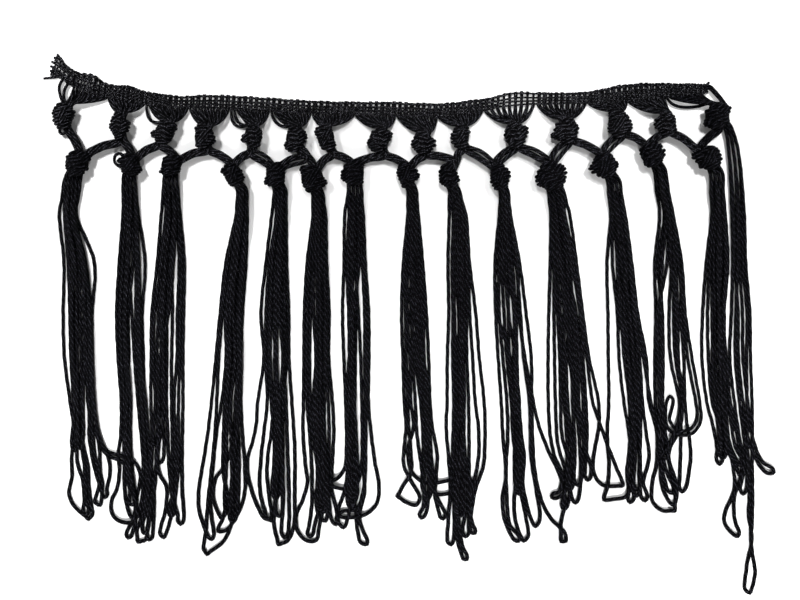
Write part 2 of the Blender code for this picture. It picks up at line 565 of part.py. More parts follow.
# Loops of the last fan's right half, which hang from its knot
FREE_LOOPS = (
    Loop(
        (149.6, 151.6, 151.4, 151.6),
        ((151.8, -56.0), (152.8, -74.0), (152.4, -86.0), (153.8, -96.0), (151.6, -108.0), (150.6, -118.6),
         (152.8, -120.6), (155.2, -112.0), (153.4, -98.0), (154.0, -84.0), (153.9, -60.0)),
        (151.0, 152.9, 153.2, 153.9),
    ),
    Loop(
        (146.2, 147.6, 147.8, 149.8),
        ((151.8, -50.0), (154.8, -58.6), (159.4, -65.8), (163.8, -66.2), (158.6, -61.6), (154.2, -51.0)),
        (148.2, 149.6, 149.8, 152.0),
    ),
    Loop(
        (145.2, 144.6, 143.9, 146.0),
        ((148.0, -50.0), (150.2, -62.0), (149.8, -76.0), (151.4, -62.0), (149.8, -48.0)),
        (147.2, 146.6, 146.4, 148.2),
    ),
)
TASSELS = (
    TASSEL_1, TASSEL_2, TASSEL_3, TASSEL_4, TASSEL_5, TASSEL_6, TASSEL_7,
    TASSEL_8, TASSEL_9, TASSEL_10, TASSEL_11, TASSEL_12, TASSEL_13, TASSEL_14,
)


def smooth_line(points, step=SAMPLE_STEP):
    """Sample a centripetal Catmull-Rom curve through the points of a plan."""
    pts = np.array(points, dtype=float)
    pts = np.vstack([2 * pts[0] - pts[1], pts, 2 * pts[-1] - pts[-2]])
    samples = []
    for i in range(1, len(pts) - 2):
        p0, p1, p2, p3 = pts[i - 1:i + 3]
        t1 = np.linalg.norm(p1 - p0) ** 0.5
        t2 = t1 + np.linalg.norm(p2 - p1) ** 0.5
        t3 = t2 + np.linalg.norm(p3 - p2) ** 0.5
        count = max(2, int(math.ceil(np.linalg.norm(p2 - p1) / step)))
        t = np.linspace(t1, t2, count, endpoint=False)[:, None]
        a1 = (t1 - t) / t1 * p0 + t / t1 * p1
        a2 = (t2 - t) / (t2 - t1) * p1 + (t - t1) / (t2 - t1) * p2
        a3 = (t3 - t) / (t3 - t2) * p2 + (t - t2) / (t3 - t2) * p3
        b1 = (t2 - t) / t2 * a1 + t / t2 * a2
        b2 = (t3 - t) / (t3 - t1) * a2 + (t - t1) / (t3 - t1) * a3
        samples.append((t2 - t) / (t2 - t1) * b1 + (t - t1) / (t2 - t1) * b2)
    samples.append(pts[-2][None, :])
    return np.vstack(samples)


def lengths_along(line):
    """Distance from the line's start to each of its points."""
    steps = np.linalg.norm(np.diff(line, axis=0), axis=1)
    return np.concatenate([[0.0], np.cumsum(steps)])


def round_foot(points, radius):
    """Open the sharpest bend of a plan into a round turn."""
    pts = [np.array(p, dtype=float) for p in points]
    best, place = -0.2, None
    for i in range(1, len(pts) - 1):
        into = pts[i] - pts[i - 1]
        out = pts[i + 1] - pts[i]
        back = -np.dot(into, out) / (np.linalg.norm(into) * np.linalg.norm(out))
        if back > best:
            best, place = back, i
    if place is None:
        return points
    before, foot, after = pts[place - 1], pts[place], pts[place + 1]
    middle = (before - foot) / np.linalg.norm(before - foot) + (after - foot) / np.linalg.norm(after - foot)
    inward = middle / np.linalg.norm(middle)
    side = np.array([-inward[1], inward[0]])
    if np.dot(side, before - after) < 0:
        side = -side
    first = foot + inward * radius * 1.1 + side * radius
    second = foot + inward * radius * 1.1 - side * radius
    return [tuple(p) for p in pts[:place] + [first, foot, second] + pts[place + 1:]]


def simplify(line, tolerance):
    """Indices of the points that a line needs, by splitting at the farthest point."""
    chosen = {0, len(line) - 1}
    spans = [(0, len(line) - 1)]
    while spans:
        a, b = spans.pop()
        if b - a < 2:
            continue
        chord = line[b] - line[a]
        t = np.clip((line[a:b + 1] - line[a]) @ chord / max(chord @ chord, 1e-9), 0, 1)
        off = np.linalg.norm(line[a:b + 1] - line[a] - t[:, None] * chord, axis=1)
        far = int(np.argmax(off))
        if off[far] > tolerance:
            chosen.add(a + far)
            spans += [(a, a + far), (a + far, b)]
    return sorted(chosen)


class Pile:
    """Heights at which strands lie on the table and on the strands below them."""

    def __init__(self):
        self.spots = np.empty((0, 5))

    def need(self, plan, half, spots):
        """Height that each point of a plan needs over the spots already laid."""
        result = np.zeros(len(plan))
        if not len(spots):
            return result
        low, high = plan.min(axis=0) - 2.5, plan.max(axis=0) + 2.5
        near = spots[
            (spots[:, 0] > low[0]) & (spots[:, 0] < high[0]) & (spots[:, 1] > low[1]) & (spots[:, 1] < high[1])
        ]
        if not len(near):
            return result
        apart = np.hypot(plan[:, None, 0] - near[None, :, 0], plan[:, None, 1] - near[None, :, 1])
        over = 1.0 - (apart - half[:, None] - STRAND_GAP) / near[None, :, 3]
        over = np.clip(over, 0.0, 1.0)
        lift = near[None, :, 2] + (near[None, :, 4] + STRAND_GAP) * over
        lift[over <= 0.0] = 0.0
        return lift.max(axis=1)

    def lay(self, plan, half, height, floor):
        """Lay a smooth plan down as a whole and return the height of each point."""
        s = lengths_along(plan)
        foot = int(np.argmin(np.abs(s - s[-1] / 2)))
        z = np.maximum(self.need(plan, half, self.spots), floor)
        for _ in range(3):
            z = ramp(s, z)
            own = np.column_stack([plan, z, half, height])[:foot - 3]
            z[foot + 3:] = np.maximum(z[foot + 3:], self.need(plan[foot + 3:], half[foot + 3:], own))
        return ramp(s, z)

    def add(self, plan, z, half, height):
        """Remember a strand that has been laid, as spots along it."""
        s = lengths_along(plan)
        fine = np.linspace(0.0, s[-1], int(s[-1] / SAMPLE_STEP))
        self.spots = np.vstack([self.spots, np.column_stack(between(s, fine, plan, z, half, height))])


def ramp(s, z):
    """Raise heights so that a strand nowhere climbs faster than MAX_SLOPE."""
    z = z.copy()
    for order in (range(1, len(z)), range(len(z) - 2, -1, -1)):
        for i in order:
            j = i - 1 if order.step == 1 else i + 1
            z[i] = max(z[i], z[j] - MAX_SLOPE * abs(s[i] - s[j]))
    return z


def root_points(head, runs):
    """Points from inside the collar to the shoulder for each run, keyed by (loop, side)."""
    columns = math.ceil(len(runs) / ROOT_ROWS)
    pitch = head.neck_w / columns
    span = head.right - head.left - CORD
    roots = {}
    for rank, (_, key) in enumerate(sorted(runs)):
        column = rank // ROOT_ROWS
        x = head.neck_x + (column - (columns - 1) / 2) * pitch
        shoulder = head.left + CORD / 2 + span * column / (columns - 1)
        roots[key] = [
            (x, head.neck_y - COLLAR_LENGTH + 1.3),
            (x, head.neck_y - COLLAR_LENGTH - 0.6),
            (shoulder, SHOULDER_Y),
        ]
    return roots, pitch


def free_root_points(runs):
    """Points from inside the last fan's knot to the shoulder of its free loops."""
    roots = {}
    for rank, (_, key) in enumerate(sorted(runs)):
        column = rank // 2
        roots[key] = [
            (139.4 + 1.5 * column, 91.6),
            (141.6 + 1.5 * column, 88.4),
            (143.4 + 2.1 * column, 78.0),
            (144.8 + 2.3 * column + 0.9 * (rank % 2), SHOULDER_Y),
        ]
    return roots, 1.5


def loop_plan(loop, ends, root_half):
    """Plan of one loop from root to root, with its half width, height and least height."""
    down = list(zip(loop.down, RUN_LEVELS))
    up = list(zip(loop.up, RUN_LEVELS))
    turn = round_foot([down[-1], *loop.turn, up[-1]], 1.25)
    plan = smooth_line(ends[0] + down + turn[1:-1] + up[::-1] + ends[1][::-1])
    s = lengths_along(plan)
    from_root = np.minimum(s, s[-1] - s)
    grown = np.clip(from_root / ROOT_TAPER, 0.0, 1.0)
    half = root_half + (CORD / 2 - root_half) * grown
    height = CORD_HEIGHT * (0.72 + 0.28 * grown)
    floor = 0.5 * (1.0 - np.clip(from_root / 12.0, 0.0, 1.0))
    return plan, half, height, floor


def tassel_strands(loops, roots, pitch, pile):
    """Lay the loops of one tassel, the lowest first, as strands of sections."""
    strands = []
    waiting = [
        loop_plan(loop, (roots[n, "down"], roots[n, "up"]), pitch / 2 - 0.1) for n, loop in enumerate(loops)
    ]
    while waiting:
        heights = [pile.lay(*route) for route in waiting]
        lowest = min(range(len(waiting)), key=lambda n: heights[n].mean() + TOP_WEIGHT * heights[n].max())
        plan, half, height, floor = waiting.pop(lowest)
        line = np.column_stack([plan, heights[lowest]])
        kept = simplify(line * (1.0, 1.0, HEIGHT_WEIGHT), ROUTE_TOLERANCE)
        half, height, floor = half[kept], height[kept], floor[kept]
        z = clear_heights(line[kept], half, height, floor, pile)
        pile.add(line[kept, :2], z, half, height)
        strands.append(list(zip(line[kept, 0], line[kept, 1], z, half, height)))
    return strands


def clear_heights(corners, half, height, floor, pile):
    """Raise the corners of a simplified strand until it is clear of what lies below."""
    z = corners[:, 2].copy()
    s = lengths_along(corners[:, :2])
    fine = np.linspace(0.0, s[-1], int(s[-1] / SAMPLE_STEP))
    place, fine_half, fine_height, least = between(s, fine, corners[:, :2], half, height, floor)
    least = np.maximum(pile.need(place, fine_half, pile.spots), least)
    segment = np.clip(np.searchsorted(s, fine, side="right") - 1, 0, len(s) - 2)
    t = (fine - s[segment]) / (s[segment + 1] - s[segment])
    first = fine < s[-1] / 2 - 3.0
    second = fine > s[-1] / 2 + 3.0
    for _ in range(25):
        level = np.interp(fine, s, z)
        want = least.copy()
        own = np.column_stack([place, level, fine_half, fine_height])[first]
        want[second] = np.maximum(want[second], pile.need(place[second], fine_half[second], own))
        lack = want - level
        if lack.max() < 0.02:
            break
        for i in range(len(s) - 1):
            here = np.flatnonzero((segment == i) & (lack > 0.02))
            if len(here):
                worst = here[np.argmax(lack[here])]
                share = (1 - t[worst]) ** 2 + t[worst] ** 2
                z[i] += lack[worst] * (1 - t[worst]) / share
                z[i + 1] += lack[worst] * t[worst] / share
    return z


def between(s, fine, plan, *values):
    """Plan and other values of a strand's corners, read at finer distances."""
    place = np.column_stack([np.interp(fine, s, plan[:, i]) for i in (0, 1)])
    return [place] + [np.interp(fine, s, value) for value in values]


def place_in_frame(x, y, z):
    """A point of the tables as a point of the model, in metres."""
    return ((x - MIDDLE_X) * MM, (y - MIDDLE_Y) * MM, z * MM)


def sweep(bm, rings):
    """Extrude a face through a row of rings, which closes both ends."""
    front = bm.faces.new([bm.verts.new(place_in_frame(*point)) for point in rings[0]])
    for number, ring in enumerate(rings[1:]):
        grown = bmesh.ops.extrude_face_region(bm, geom=[front])
        if number:
            bm.faces.remove(front)
        front = next(item for item in grown["geom"] if isinstance(item, bmesh.types.BMFace))
        for vert, point in zip(front.verts, ring):
            vert.co = place_in_frame(*point)


def across_line(points):
    """Sideways unit vector at each point of a plan, lengthened at its bends."""
    plan = np.array(points, dtype=float)
    steps = np.diff(plan, axis=0)
    steps /= np.linalg.norm(steps, axis=1)[:, None]
    into = np.vstack([steps[:1], steps])
    out = np.vstack([steps, steps[-1:]])
    along = into + out
    along /= np.linalg.norm(along, axis=1)[:, None]
    stretch = 1.0 / np.clip((along * out).sum(axis=1), 0.72, 1.0)
    return np.column_stack([along[:, 1], -along[:, 0]]) * stretch[:, None]


def strand_rings(sections):
    """Three-sided rings of a strand with a flat underside."""
    side = across_line([(x, y) for x, y, *_ in sections])
    rings = []
    for (x, y, z, half, height), (sx, sy) in zip(sections, side):
        left = (x - sx * half, y - sy * half)
        right = (x + sx * half, y + sy * half)
        rings.append([(*left, z), (*right, z), (x, y, z + height)])
    return rings


def solid(name, make):
    """A mesh object from a function that fills a bmesh with closed bodies."""
    bm = bmesh.new()
    make(bm)
    bmesh.ops.recalc_face_normals(bm, faces=bm.faces)
    mesh = bpy.data.meshes.new(name)
    bm.to_mesh(mesh)
    bm.free()
    item = bpy.data.objects.new(name, mesh)
    bpy.context.collection.objects.link(item)
    return item


def fuse(base, others, solver="EXACT"):
    """Fuse closed bodies into the base with Booleans, and drop the others."""
    for other in others:
        joint = base.modifiers.new(other.name, "BOOLEAN")
        joint.operation = "UNION"
        joint.solver = solver
        joint.object = other
    graph = bpy.context.evaluated_depsgraph_get()
    fused = bpy.data.meshes.new_from_object(base.evaluated_get(graph))
    base.modifiers.clear()
    base.data = fused
    for other in others:
        bpy.data.objects.remove(other, do_unlink=True)
    return base


def knot_rings(x, y, width, length, lean, neck=None):
    """Rings of a ridged knot from its upper end down, with a collar at its neck."""
    rings = []
    turn = math.radians(lean)
    steps = 2 * KNOT_RIDGES
    for step in range(steps + 1):
        t = 2 * step / steps - 1
        ridge = 1.0 if step % 2 else 0.88
        barrel = (1 - 0.45 * abs(t) ** 3) * ridge
        half = width / 2 * barrel
        rise = KNOT_THICKNESS / 2 * (0.35 + 0.65 * barrel)
        ring = []
        for k in range(KNOT_SIDES):
            angle = 2 * math.pi * (k + 0.5) / KNOT_SIDES
            u = half * math.cos(angle) * 1.06
            v = -t * length / 2 + 0.2 * u * (1 - abs(t) ** 4)
            z = max(0.0, rise * (1 + 1.085 * math.sin(angle)))
            ring.append((x + u * math.cos(turn) - v * math.sin(turn), y + u * math.sin(turn) + v * math.cos(turn), z))
        rings.append(ring)
    if neck:
        neck_x, neck_y, neck_w, neck_h = neck
        for drop, spread in ((0.4, 0.35), (COLLAR_LENGTH, 0.45)):
            ring = []
            for k in range(KNOT_SIDES):
                angle = 2 * math.pi * (k + 0.5) / KNOT_SIDES
                u = math.copysign(min(1.0, abs(math.cos(angle)) * 1.25), math.cos(angle))
                w = 1 if math.sin(angle) > 0 else -1
                w *= min(1.0, abs(math.sin(angle)) * 1.25)
                ring.append((neck_x + (neck_w / 2 + spread) * u, neck_y - drop, neck_h / 2 * (1 + w)))
            rings.append(ring)
    return rings


def clear_of_knot(head, points):
    """Whether each point of a plan lies outside a knot, with a gap."""
    turn = math.radians(head.lean)
    dx, dy = points[:, 0] - head.knot_x, points[:, 1] - head.knot_y
    u = dx * math.cos(turn) + dy * math.sin(turn)
    v = dy * math.cos(turn) - dx * math.sin(turn)
    t = np.clip(2 * np.abs(v) / head.knot_h, 0.0, 1.0)
    half = head.knot_w / 2 * 1.06 * (1 - 0.45 * t ** 3)
    return (np.abs(u) > half + KNOT_CLEARANCE) | (np.abs(v) > head.knot_h / 2 + KNOT_CLEARANCE)


def leg_plan(start, leave, enter, end, bow, fan, head):
    """Centre line of a leg, its sideways vectors, and where it is parted between the knots."""
    middle = ((leave[0] + enter[0]) / 2, (leave[1] + enter[1]) / 2 + bow)
    plan = smooth_line([start, leave, middle, enter, end], 0.5)
    side = across_line(plan)
    edge = side * (LEG_WIDTH / 2 + 0.3)
    clear = clear_of_knot(head, plan + edge) & clear_of_knot(head, plan - edge) & clear_of_knot(head, plan)
    below_fan = int(np.argmax(clear_of_knot(fan, plan)))
    return plan, side, max(below_fan, int(np.argmin(clear)) - 1)


def leg_rings(plan, side):
    """Rings of the strands that lie side by side along a part of a leg's centre line."""
    kept = simplify(plan, 0.5)
    pitch = LEG_WIDTH / LEG_STRANDS
    strands = []
    for i in range(LEG_STRANDS):
        shift = (i - (LEG_STRANDS - 1) / 2) * pitch
        left = plan[kept] + side[kept] * (shift - pitch / 2 + STRAND_GAP / 2)
        right = plan[kept] + side[kept] * (shift + pitch / 2 - STRAND_GAP / 2)
        top = LEG_LOW + LEG_HEIGHT
        strands.append([[(*a, LEG_LOW), (*b, LEG_LOW), (*b, top), (*a, top)] for a, b in zip(left, right)])
    return strands


def legs():
    """Leg strands of each fan and the stubs that meet them on each tassel's knot."""
    from_fans = {k: [] for k in range(len(FANS))}
    stubs = {k: [] for k in range(len(HEADS))}
    for k, fan in enumerate(FANS):
        for toward, j in ((-1, k - 1), (1, k)):
            if not 0 <= j < len(HEADS):
                continue
            head = HEADS[j]
            start = (fan.knot_x + 2.5 * toward, fan.knot_y - 0.22 * fan.knot_h)
            leave = (fan.knot_x + 3.1 * toward, fan.knot_y - 0.46 * fan.knot_h)
            enter = (head.knot_x - 2.75 * toward, head.knot_y + 0.5 * head.knot_h + 0.9)
            end = (head.knot_x - 1.4 * toward, head.knot_y + 0.14 * head.knot_h)
            bow = 1.3 if toward < 0 else 0.3
            plan, side, parted = leg_plan(start, leave, enter, end, bow, fan, head)
            s = lengths_along(plan)
            upper = s <= s[parted]
            lower = s >= s[parted] + PIECE_GAP
            from_fans[k] += leg_rings(plan[upper], side[upper])
            stubs[j] += leg_rings(plan[lower], side[lower])
    return from_fans, stubs


def fan_rings(k):
    """Rings across a ridged fan, one for each cord line from the heading's edge into its knot."""
    fan = FANS[k]
    after = FANS[k + 1][:2] if k + 1 < len(FANS) else LAST_VALLEY
    edge_line = heading_edges()[1]
    left = fan.valley_x + PIECE_GAP / 2
    right = after[0] - PIECE_GAP / 2
    neck = np.array([fan.neck_x, fan.knot_y + fan.knot_h / 2 - 0.2])
    rings = []
    for i in range(2 * FAN_RIDGES + 1):
        u = i / (2 * FAN_RIDGES)
        top_x = left + (right - left) * u
        first = np.array([top_x, np.interp(top_x, edge_line[:, 0], edge_line[:, 1]) - HEM_GAP])
        last = neck + np.array([(u - 0.5) * 6.2, -1.6])
        bend = first + np.array([0.36, 0.84]) * (last - first)
        top = []
        base = []
        for v, low in ((0.0, 0.0), (0.5, 0.4), (1.0, 1.3)):
            x, y = (1 - v) ** 2 * first + 2 * v * (1 - v) * bend + v ** 2 * last
            crest = FAN_TOP_HEIGHT + (FAN_NECK_HEIGHT - FAN_TOP_HEIGHT) * v ** 1.5
            edge = abs(2 * u - 1) ** 3 * (0.3 + 0.5 * v)
            height = crest * (1 - 0.45 * edge) - (0.6 if i % 2 == 0 else 0.0)
            top.append((x, y, height))
            base.append((x, y, low))
        rings.append(top + base[::-1])
    return rings


def heading_edges():
    """Upper and lower edge of the heading, at the same shares of their lengths."""
    rows = np.array(HEADING)
    edges = []
    for line in (smooth_line(rows[:, :2], 0.5), smooth_line(rows[:, 2:], 0.5)):
        s = lengths_along(line)
        at = np.linspace(0.0, s[-1], BAND_COLUMNS + 1)
        edges.append(np.column_stack([np.interp(at, s, line[:, i]) for i in (0, 1)]))
    return edges


def heading_rings():
    """Rings across the heading, from its frayed left end to its right end."""
    rings = []
    for column, (a, b) in enumerate(zip(*heading_edges())):
        bump = 0.25 if column % 2 else -0.1
        out = (a - b) / np.linalg.norm(a - b)
        a = a + out * bump
        top = []
        for i in range(2 * BAND_WALES + 1):
            t = i / (2 * BAND_WALES)
            x, y = a + (b - a) * t
            z = BAND_CREST if i % 2 else BAND_GROOVE
            if i in (0, 2 * BAND_WALES):
                z -= 0.5
            top.append((x, y, z))
        rings.append([(*a, 0.0)] + top + [(*b, 0.0)])
    return rings


def fray_sections(inner, outer):
    """A short loose end of yarn, thinner toward its tip."""
    return [(*inner, 0.35, 0.75, 1.3), (*outer, 0.0, 0.4, 0.8)]


def yarn_material(name, color, roughness):
    """A matt black yarn."""
    material = bpy.data.materials.new(name)
    material.use_nodes = True
    shader = material.node_tree.nodes["Principled BSDF"]
    shader.inputs["Base Color"].default_value = (*color, 1.0)
    shader.inputs["Roughness"].default_value = roughness
    shader.inputs["Metallic"].default_value = 0.0
    material.diffuse_color = (*color, 1.0)
    return material


def fill(strands):
    """A function that sweeps the rings of several strands into a bmesh."""
    def make(bm):
        for rings in strands:
            sweep(bm, rings)
    return make


def build_heading():
    """The knitted heading with its frayed end."""
    band = solid("heading", fill([heading_rings()]))
    fray = solid("fray", fill([strand_rings(fray_sections(inner, outer)) for inner, outer in FRAY]))
    return fuse(band, [fray])


def build_fan(k, leg_parts, free_strands):
    """A fan, its knot and the legs below it, fused into one body."""
    fan = FANS[k]
    body = solid(f"fan_knot_{k + 1:02d}", fill([fan_rings(k)]))
    rings = knot_rings(fan.knot_x, fan.knot_y, fan.knot_w, fan.knot_h, fan.lean)
    fuse(body, [solid("knot", fill([rings])), solid("legs", fill(leg_parts))], "MANIFOLD")
    if free_strands:
        fuse(body, [solid("free_loops", fill([strand_rings(sections) for sections in free_strands]))])
    return body


def build_tassel(k, strands, stubs):
    """A tassel's knot with its collar, stubs and looped strands, fused into one body."""
    head = HEADS[k]
    tall = max(section[2] + section[4] for strand in strands for section in (strand[0], strand[-1]))
    neck = (head.neck_x, head.neck_y, head.neck_w, max(COLLAR_HEIGHT, tall + 0.35))
    rings = knot_rings(head.knot_x, head.knot_y, head.knot_w, head.knot_h, head.lean, neck)
    body = solid(f"tassel_{k + 1:02d}", fill([rings]))
    parts = [solid("stub", fill([row])) for row in stubs]
    parts += [solid("loop", fill([strand_rings(sections)])) for sections in strands]
    return fuse(body, parts)


def runs_of(loops):
    """Each run's x at the first level, with its loop's number and side."""
    return [(loop.down[0], (n, "down")) for n, loop in enumerate(loops)] + [
        (loop.up[0], (n, "up")) for n, loop in enumerate(loops)
    ]


def main():
    """Build every piece of the trim."""
    for item in list(bpy.data.objects):
        bpy.data.objects.remove(item, do_unlink=True)
    pile = Pile()
    strands = []
    for head, loops in zip(HEADS, TASSELS):
        roots, pitch = root_points(head, runs_of(loops))
        strands.append(tassel_strands(loops, roots, pitch, pile))
    roots, pitch = free_root_points(runs_of(FREE_LOOPS))
    free_strands = tassel_strands(FREE_LOOPS, roots, pitch, pile)
    from_fans, stubs = legs()
    pieces = [(build_heading(), "heading_yarn", (0.0065, 0.0065, 0.0075), 0.85)]
    for k in range(len(FANS)):
        free = free_strands if k == len(FANS) - 1 else []
        pieces.append((build_fan(k, from_fans[k], free), f"knot_cord_{k + 1:02d}", (0.008, 0.008, 0.009), 0.8))
    for k in range(len(HEADS)):
        body = build_tassel(k, strands[k], stubs[k])
        pieces.append((body, f"tassel_cord_{k + 1:02d}", (0.008, 0.008, 0.009), 0.8))
    for body, name, color, roughness in pieces:
        body.data.materials.clear()
        body.data.materials.append(yarn_material(name, color, roughness))


main()
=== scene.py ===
"""Looks of a black knotted tassel fringe trim that lies flat on a table, seen from straight above.

Every cord is modelled. A knitted heading carries fans of cord, each fan is drawn into a knot, the cords
below it part into two legs, and each pair of legs is knotted again above a tassel of uncut loops.
Places in the tables are millimetres across the table, +X along the heading and +Y toward it.
"""
import logging
import math
from collections.abc import Sequence
from dataclasses import dataclass, field
from enum import Enum
from typing import NamedTuple

import bmesh
import bpy
import numpy as np
from mathutils import Matrix, Vector


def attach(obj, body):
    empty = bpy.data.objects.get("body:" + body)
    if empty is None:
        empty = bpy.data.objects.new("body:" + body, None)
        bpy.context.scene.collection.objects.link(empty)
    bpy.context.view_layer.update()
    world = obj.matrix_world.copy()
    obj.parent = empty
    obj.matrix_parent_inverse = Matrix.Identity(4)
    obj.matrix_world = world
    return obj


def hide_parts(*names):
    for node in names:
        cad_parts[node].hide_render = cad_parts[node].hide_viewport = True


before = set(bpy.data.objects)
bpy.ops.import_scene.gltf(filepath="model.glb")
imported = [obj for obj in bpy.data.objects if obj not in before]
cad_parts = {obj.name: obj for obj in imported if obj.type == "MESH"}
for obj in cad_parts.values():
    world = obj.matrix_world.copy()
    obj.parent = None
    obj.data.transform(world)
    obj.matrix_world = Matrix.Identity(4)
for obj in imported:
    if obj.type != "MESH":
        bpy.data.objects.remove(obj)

log = logging.getLogger("tassel_fringe")

# Driving sizes, in millimetres unless a comment says otherwise

# Metres in a millimetre, and where the frame's origin lies in the tables
MM = 0.001
MIDDLE = (-0.15, 0.25)

# Cord: its thickness in knots and tassels, in the legs and in the loops' ends, the levels between which a
# loop grows to that, and the distance between the samples of its curve
CORD = 1.6
LEG_CORD = 1.6
END_CORD = 1.84
END_LEVELS = (-72.0, -36.0)
STEP = 1.2

# Piles: share of its height that a pile keeps as it sinks, how far a cord wanders sideways, share of the
# cord's thickness at which two cords touch, and the steepest climb
SETTLE = 0.66
WOBBLE = 0.1
PRESS = 0.93
MAX_SLOPE = 0.5

# Heading: its yarn's thickness and its height, the shares across it at which the chains and the row of
# holes run, the short chains at its left end, and the length of a stitch
YARN = 0.78
BAND_HEIGHT = 2.3
WALES = (0.06, 0.38, 0.63, 0.87)
HOLE_ROW = 0.22
LEFT_WALES = (0.24, 0.75)
LEFT_WALES_END = -144.0
STITCH = 1.35

# Frayed ends: heights and radii from the inner end to the outer one, then the short cords across the end
FRAY_HEIGHTS = (1.3, 1.1, 0.6)
FRAY_RADII = (0.75, 0.7, 0.55)
CROSSING_ENDS = 7
CROSSING_RADIUS = 0.48
CROSSING_HEIGHT = 1.1

# Fans: distance between their pairs of cords and the fewest pairs, how far the outermost cords stay from
# the ends of the band, the width at the knot, and the heights in the band and of the layers at the knot
PAIR_PITCH = 2.6
LEAST_PAIRS = 5
FIRST_FAN_INSET = 4.6
LAST_FAN_INSET = 2.4
NECK_WIDTH = 5.7
BAND_HEIGHTS = (1.25, 1.2, 1.15, 1.2, 1.35)
LOW_LAYER = 1.9
LAYER_RISE = 1.75

# Knots: thickness, distance between turns and the fewest turns, samples of a turn, then the cords that
# cross the front: how many, how far apart and how far in from the sides, and the first tassel knot's seed
KNOT_THICKNESS = 7.6
TURN_PITCH = 1.5
LEAST_TURNS = 6
TURN_SAMPLES = 28
STRAP_CORDS = 4
STRAP_PITCH = 1.35
STRAP_INSET = 2.0
TASSEL_SEED = 40

# Legs: height of their middle, and width
LEG_MIDDLE = 3.7
LEG_WIDTH = 3.9

# Tassels: rows of runs below the knot, level of the shoulder, levels of each loop's places, radius of the
# turn at a loop's foot, and how much higher its runs start at the knot and over which length
ROOT_ROWS = 3
SHOULDER_Y = 50.0
RUN_LEVELS = (28.0, 5.0, -15.0, -35.0)
FOOT_RADIUS = 1.25
ROOT_RISE = 0.9
ROOT_REACH = 22.0

# Free loops: x, y and the step between columns of runs at four places below the last fan's knot, and how
# far apart the two runs of a column are at the last of them
FREE_ROOTS = ((139.4, 91.6, 1.5), (141.6, 88.4, 1.5), (143.4, 78.0, 2.1), (144.8, SHOULDER_Y, 2.3))
FREE_SPREAD = 0.9

# The photograph: its size in pixels, its scale, and the pixel at which the tables have their origin
PHOTO_SIZE = (800, 600)
MM_PER_PIXEL = 0.45
ORIGIN_PIXEL = (410, 325)


class Section(NamedTuple):
    """A section across the heading: its upper and its lower edge."""

    top_x: float
    top_y: float
    low_x: float
    low_y: float


class Fan(NamedTuple):
    """A fan: the valley at its left, where it enters its knot, and the knot."""

    valley_x: float
    valley_y: float
    neck_x: float
    knot_x: float
    knot_y: float
    knot_w: float
    knot_h: float
    lean: float


class Head(NamedTuple):
    """A tassel's knot, the neck below it and the width of the tassel at its shoulder."""

    knot_x: float
    knot_y: float
    knot_w: float
    knot_h: float
    lean: float
    neck_x: float
    neck_y: float
    neck_w: float
    left: float
    right: float


class Loop(NamedTuple):
    """A looped cord: x of each run at RUN_LEVELS, and the turn between the two runs."""

    down: tuple
    turn: tuple
    up: tuple


# Sections across the heading, from its left end to its right one
HEADING = (
    Section(-159.0, 121.3, -161.6, 112.6),
    Section(-155.5, 117.6, -157.2, 110.6),
    Section(-149.5, 113.6, -153.0, 107.6),
    Section(-142.0, 111.9, -144.5, 104.0),
    Section(-136.5, 108.3, -136.0, 101.8),
    Section(-126.0, 107.0, -126.5, 100.4),
    Section(-118.5, 104.6, -119.0, 99.2),
    Section(-104.0, 102.8, -104.0, 97.4),
    Section(-90.0, 103.2, -90.0, 97.0),
    Section(-70.0, 102.3, -70.0, 96.3),
    Section(-50.0, 100.9, -50.0, 95.0),
    Section(-30.0, 100.1, -30.0, 94.4),
    Section(-10.0, 100.1, -10.0, 94.0),
    Section(15.0, 99.4, 15.0, 93.2),
    Section(27.0, 100.7, 28.0, 95.0),
    Section(37.0, 102.3, 38.0, 97.0),
    Section(46.5, 104.6, 48.0, 98.2),
    Section(60.0, 104.3, 60.0, 98.8),
    Section(80.0, 104.6, 80.0, 99.4),
    Section(93.0, 107.2, 93.0, 99.8),
    Section(101.0, 108.2, 101.0, 100.4),
    Section(118.0, 108.3, 118.0, 102.4),
    Section(134.0, 107.9, 134.0, 104.4),
)

# Short ends of yarn that stick out of the heading: inner and outer end
FRAY = (
    ((-157.0, 118.6), (-158.7, 121.9)),
    ((-158.4, 119.0), (-160.2, 120.4)),
    ((-158.9, 117.6), (-161.3, 118.5)),
    ((-159.2, 116.0), (-161.8, 116.4)),
    ((-159.4, 114.6), (-161.9, 114.3)),
    ((-159.6, 113.4), (-161.8, 112.5)),
    ((-156.2, 117.8), (-157.2, 120.2)),
    ((-155.6, 112.3), (-165.0, 110.9)),
    ((131.2, 106.6), (134.6, 109.2)),
)

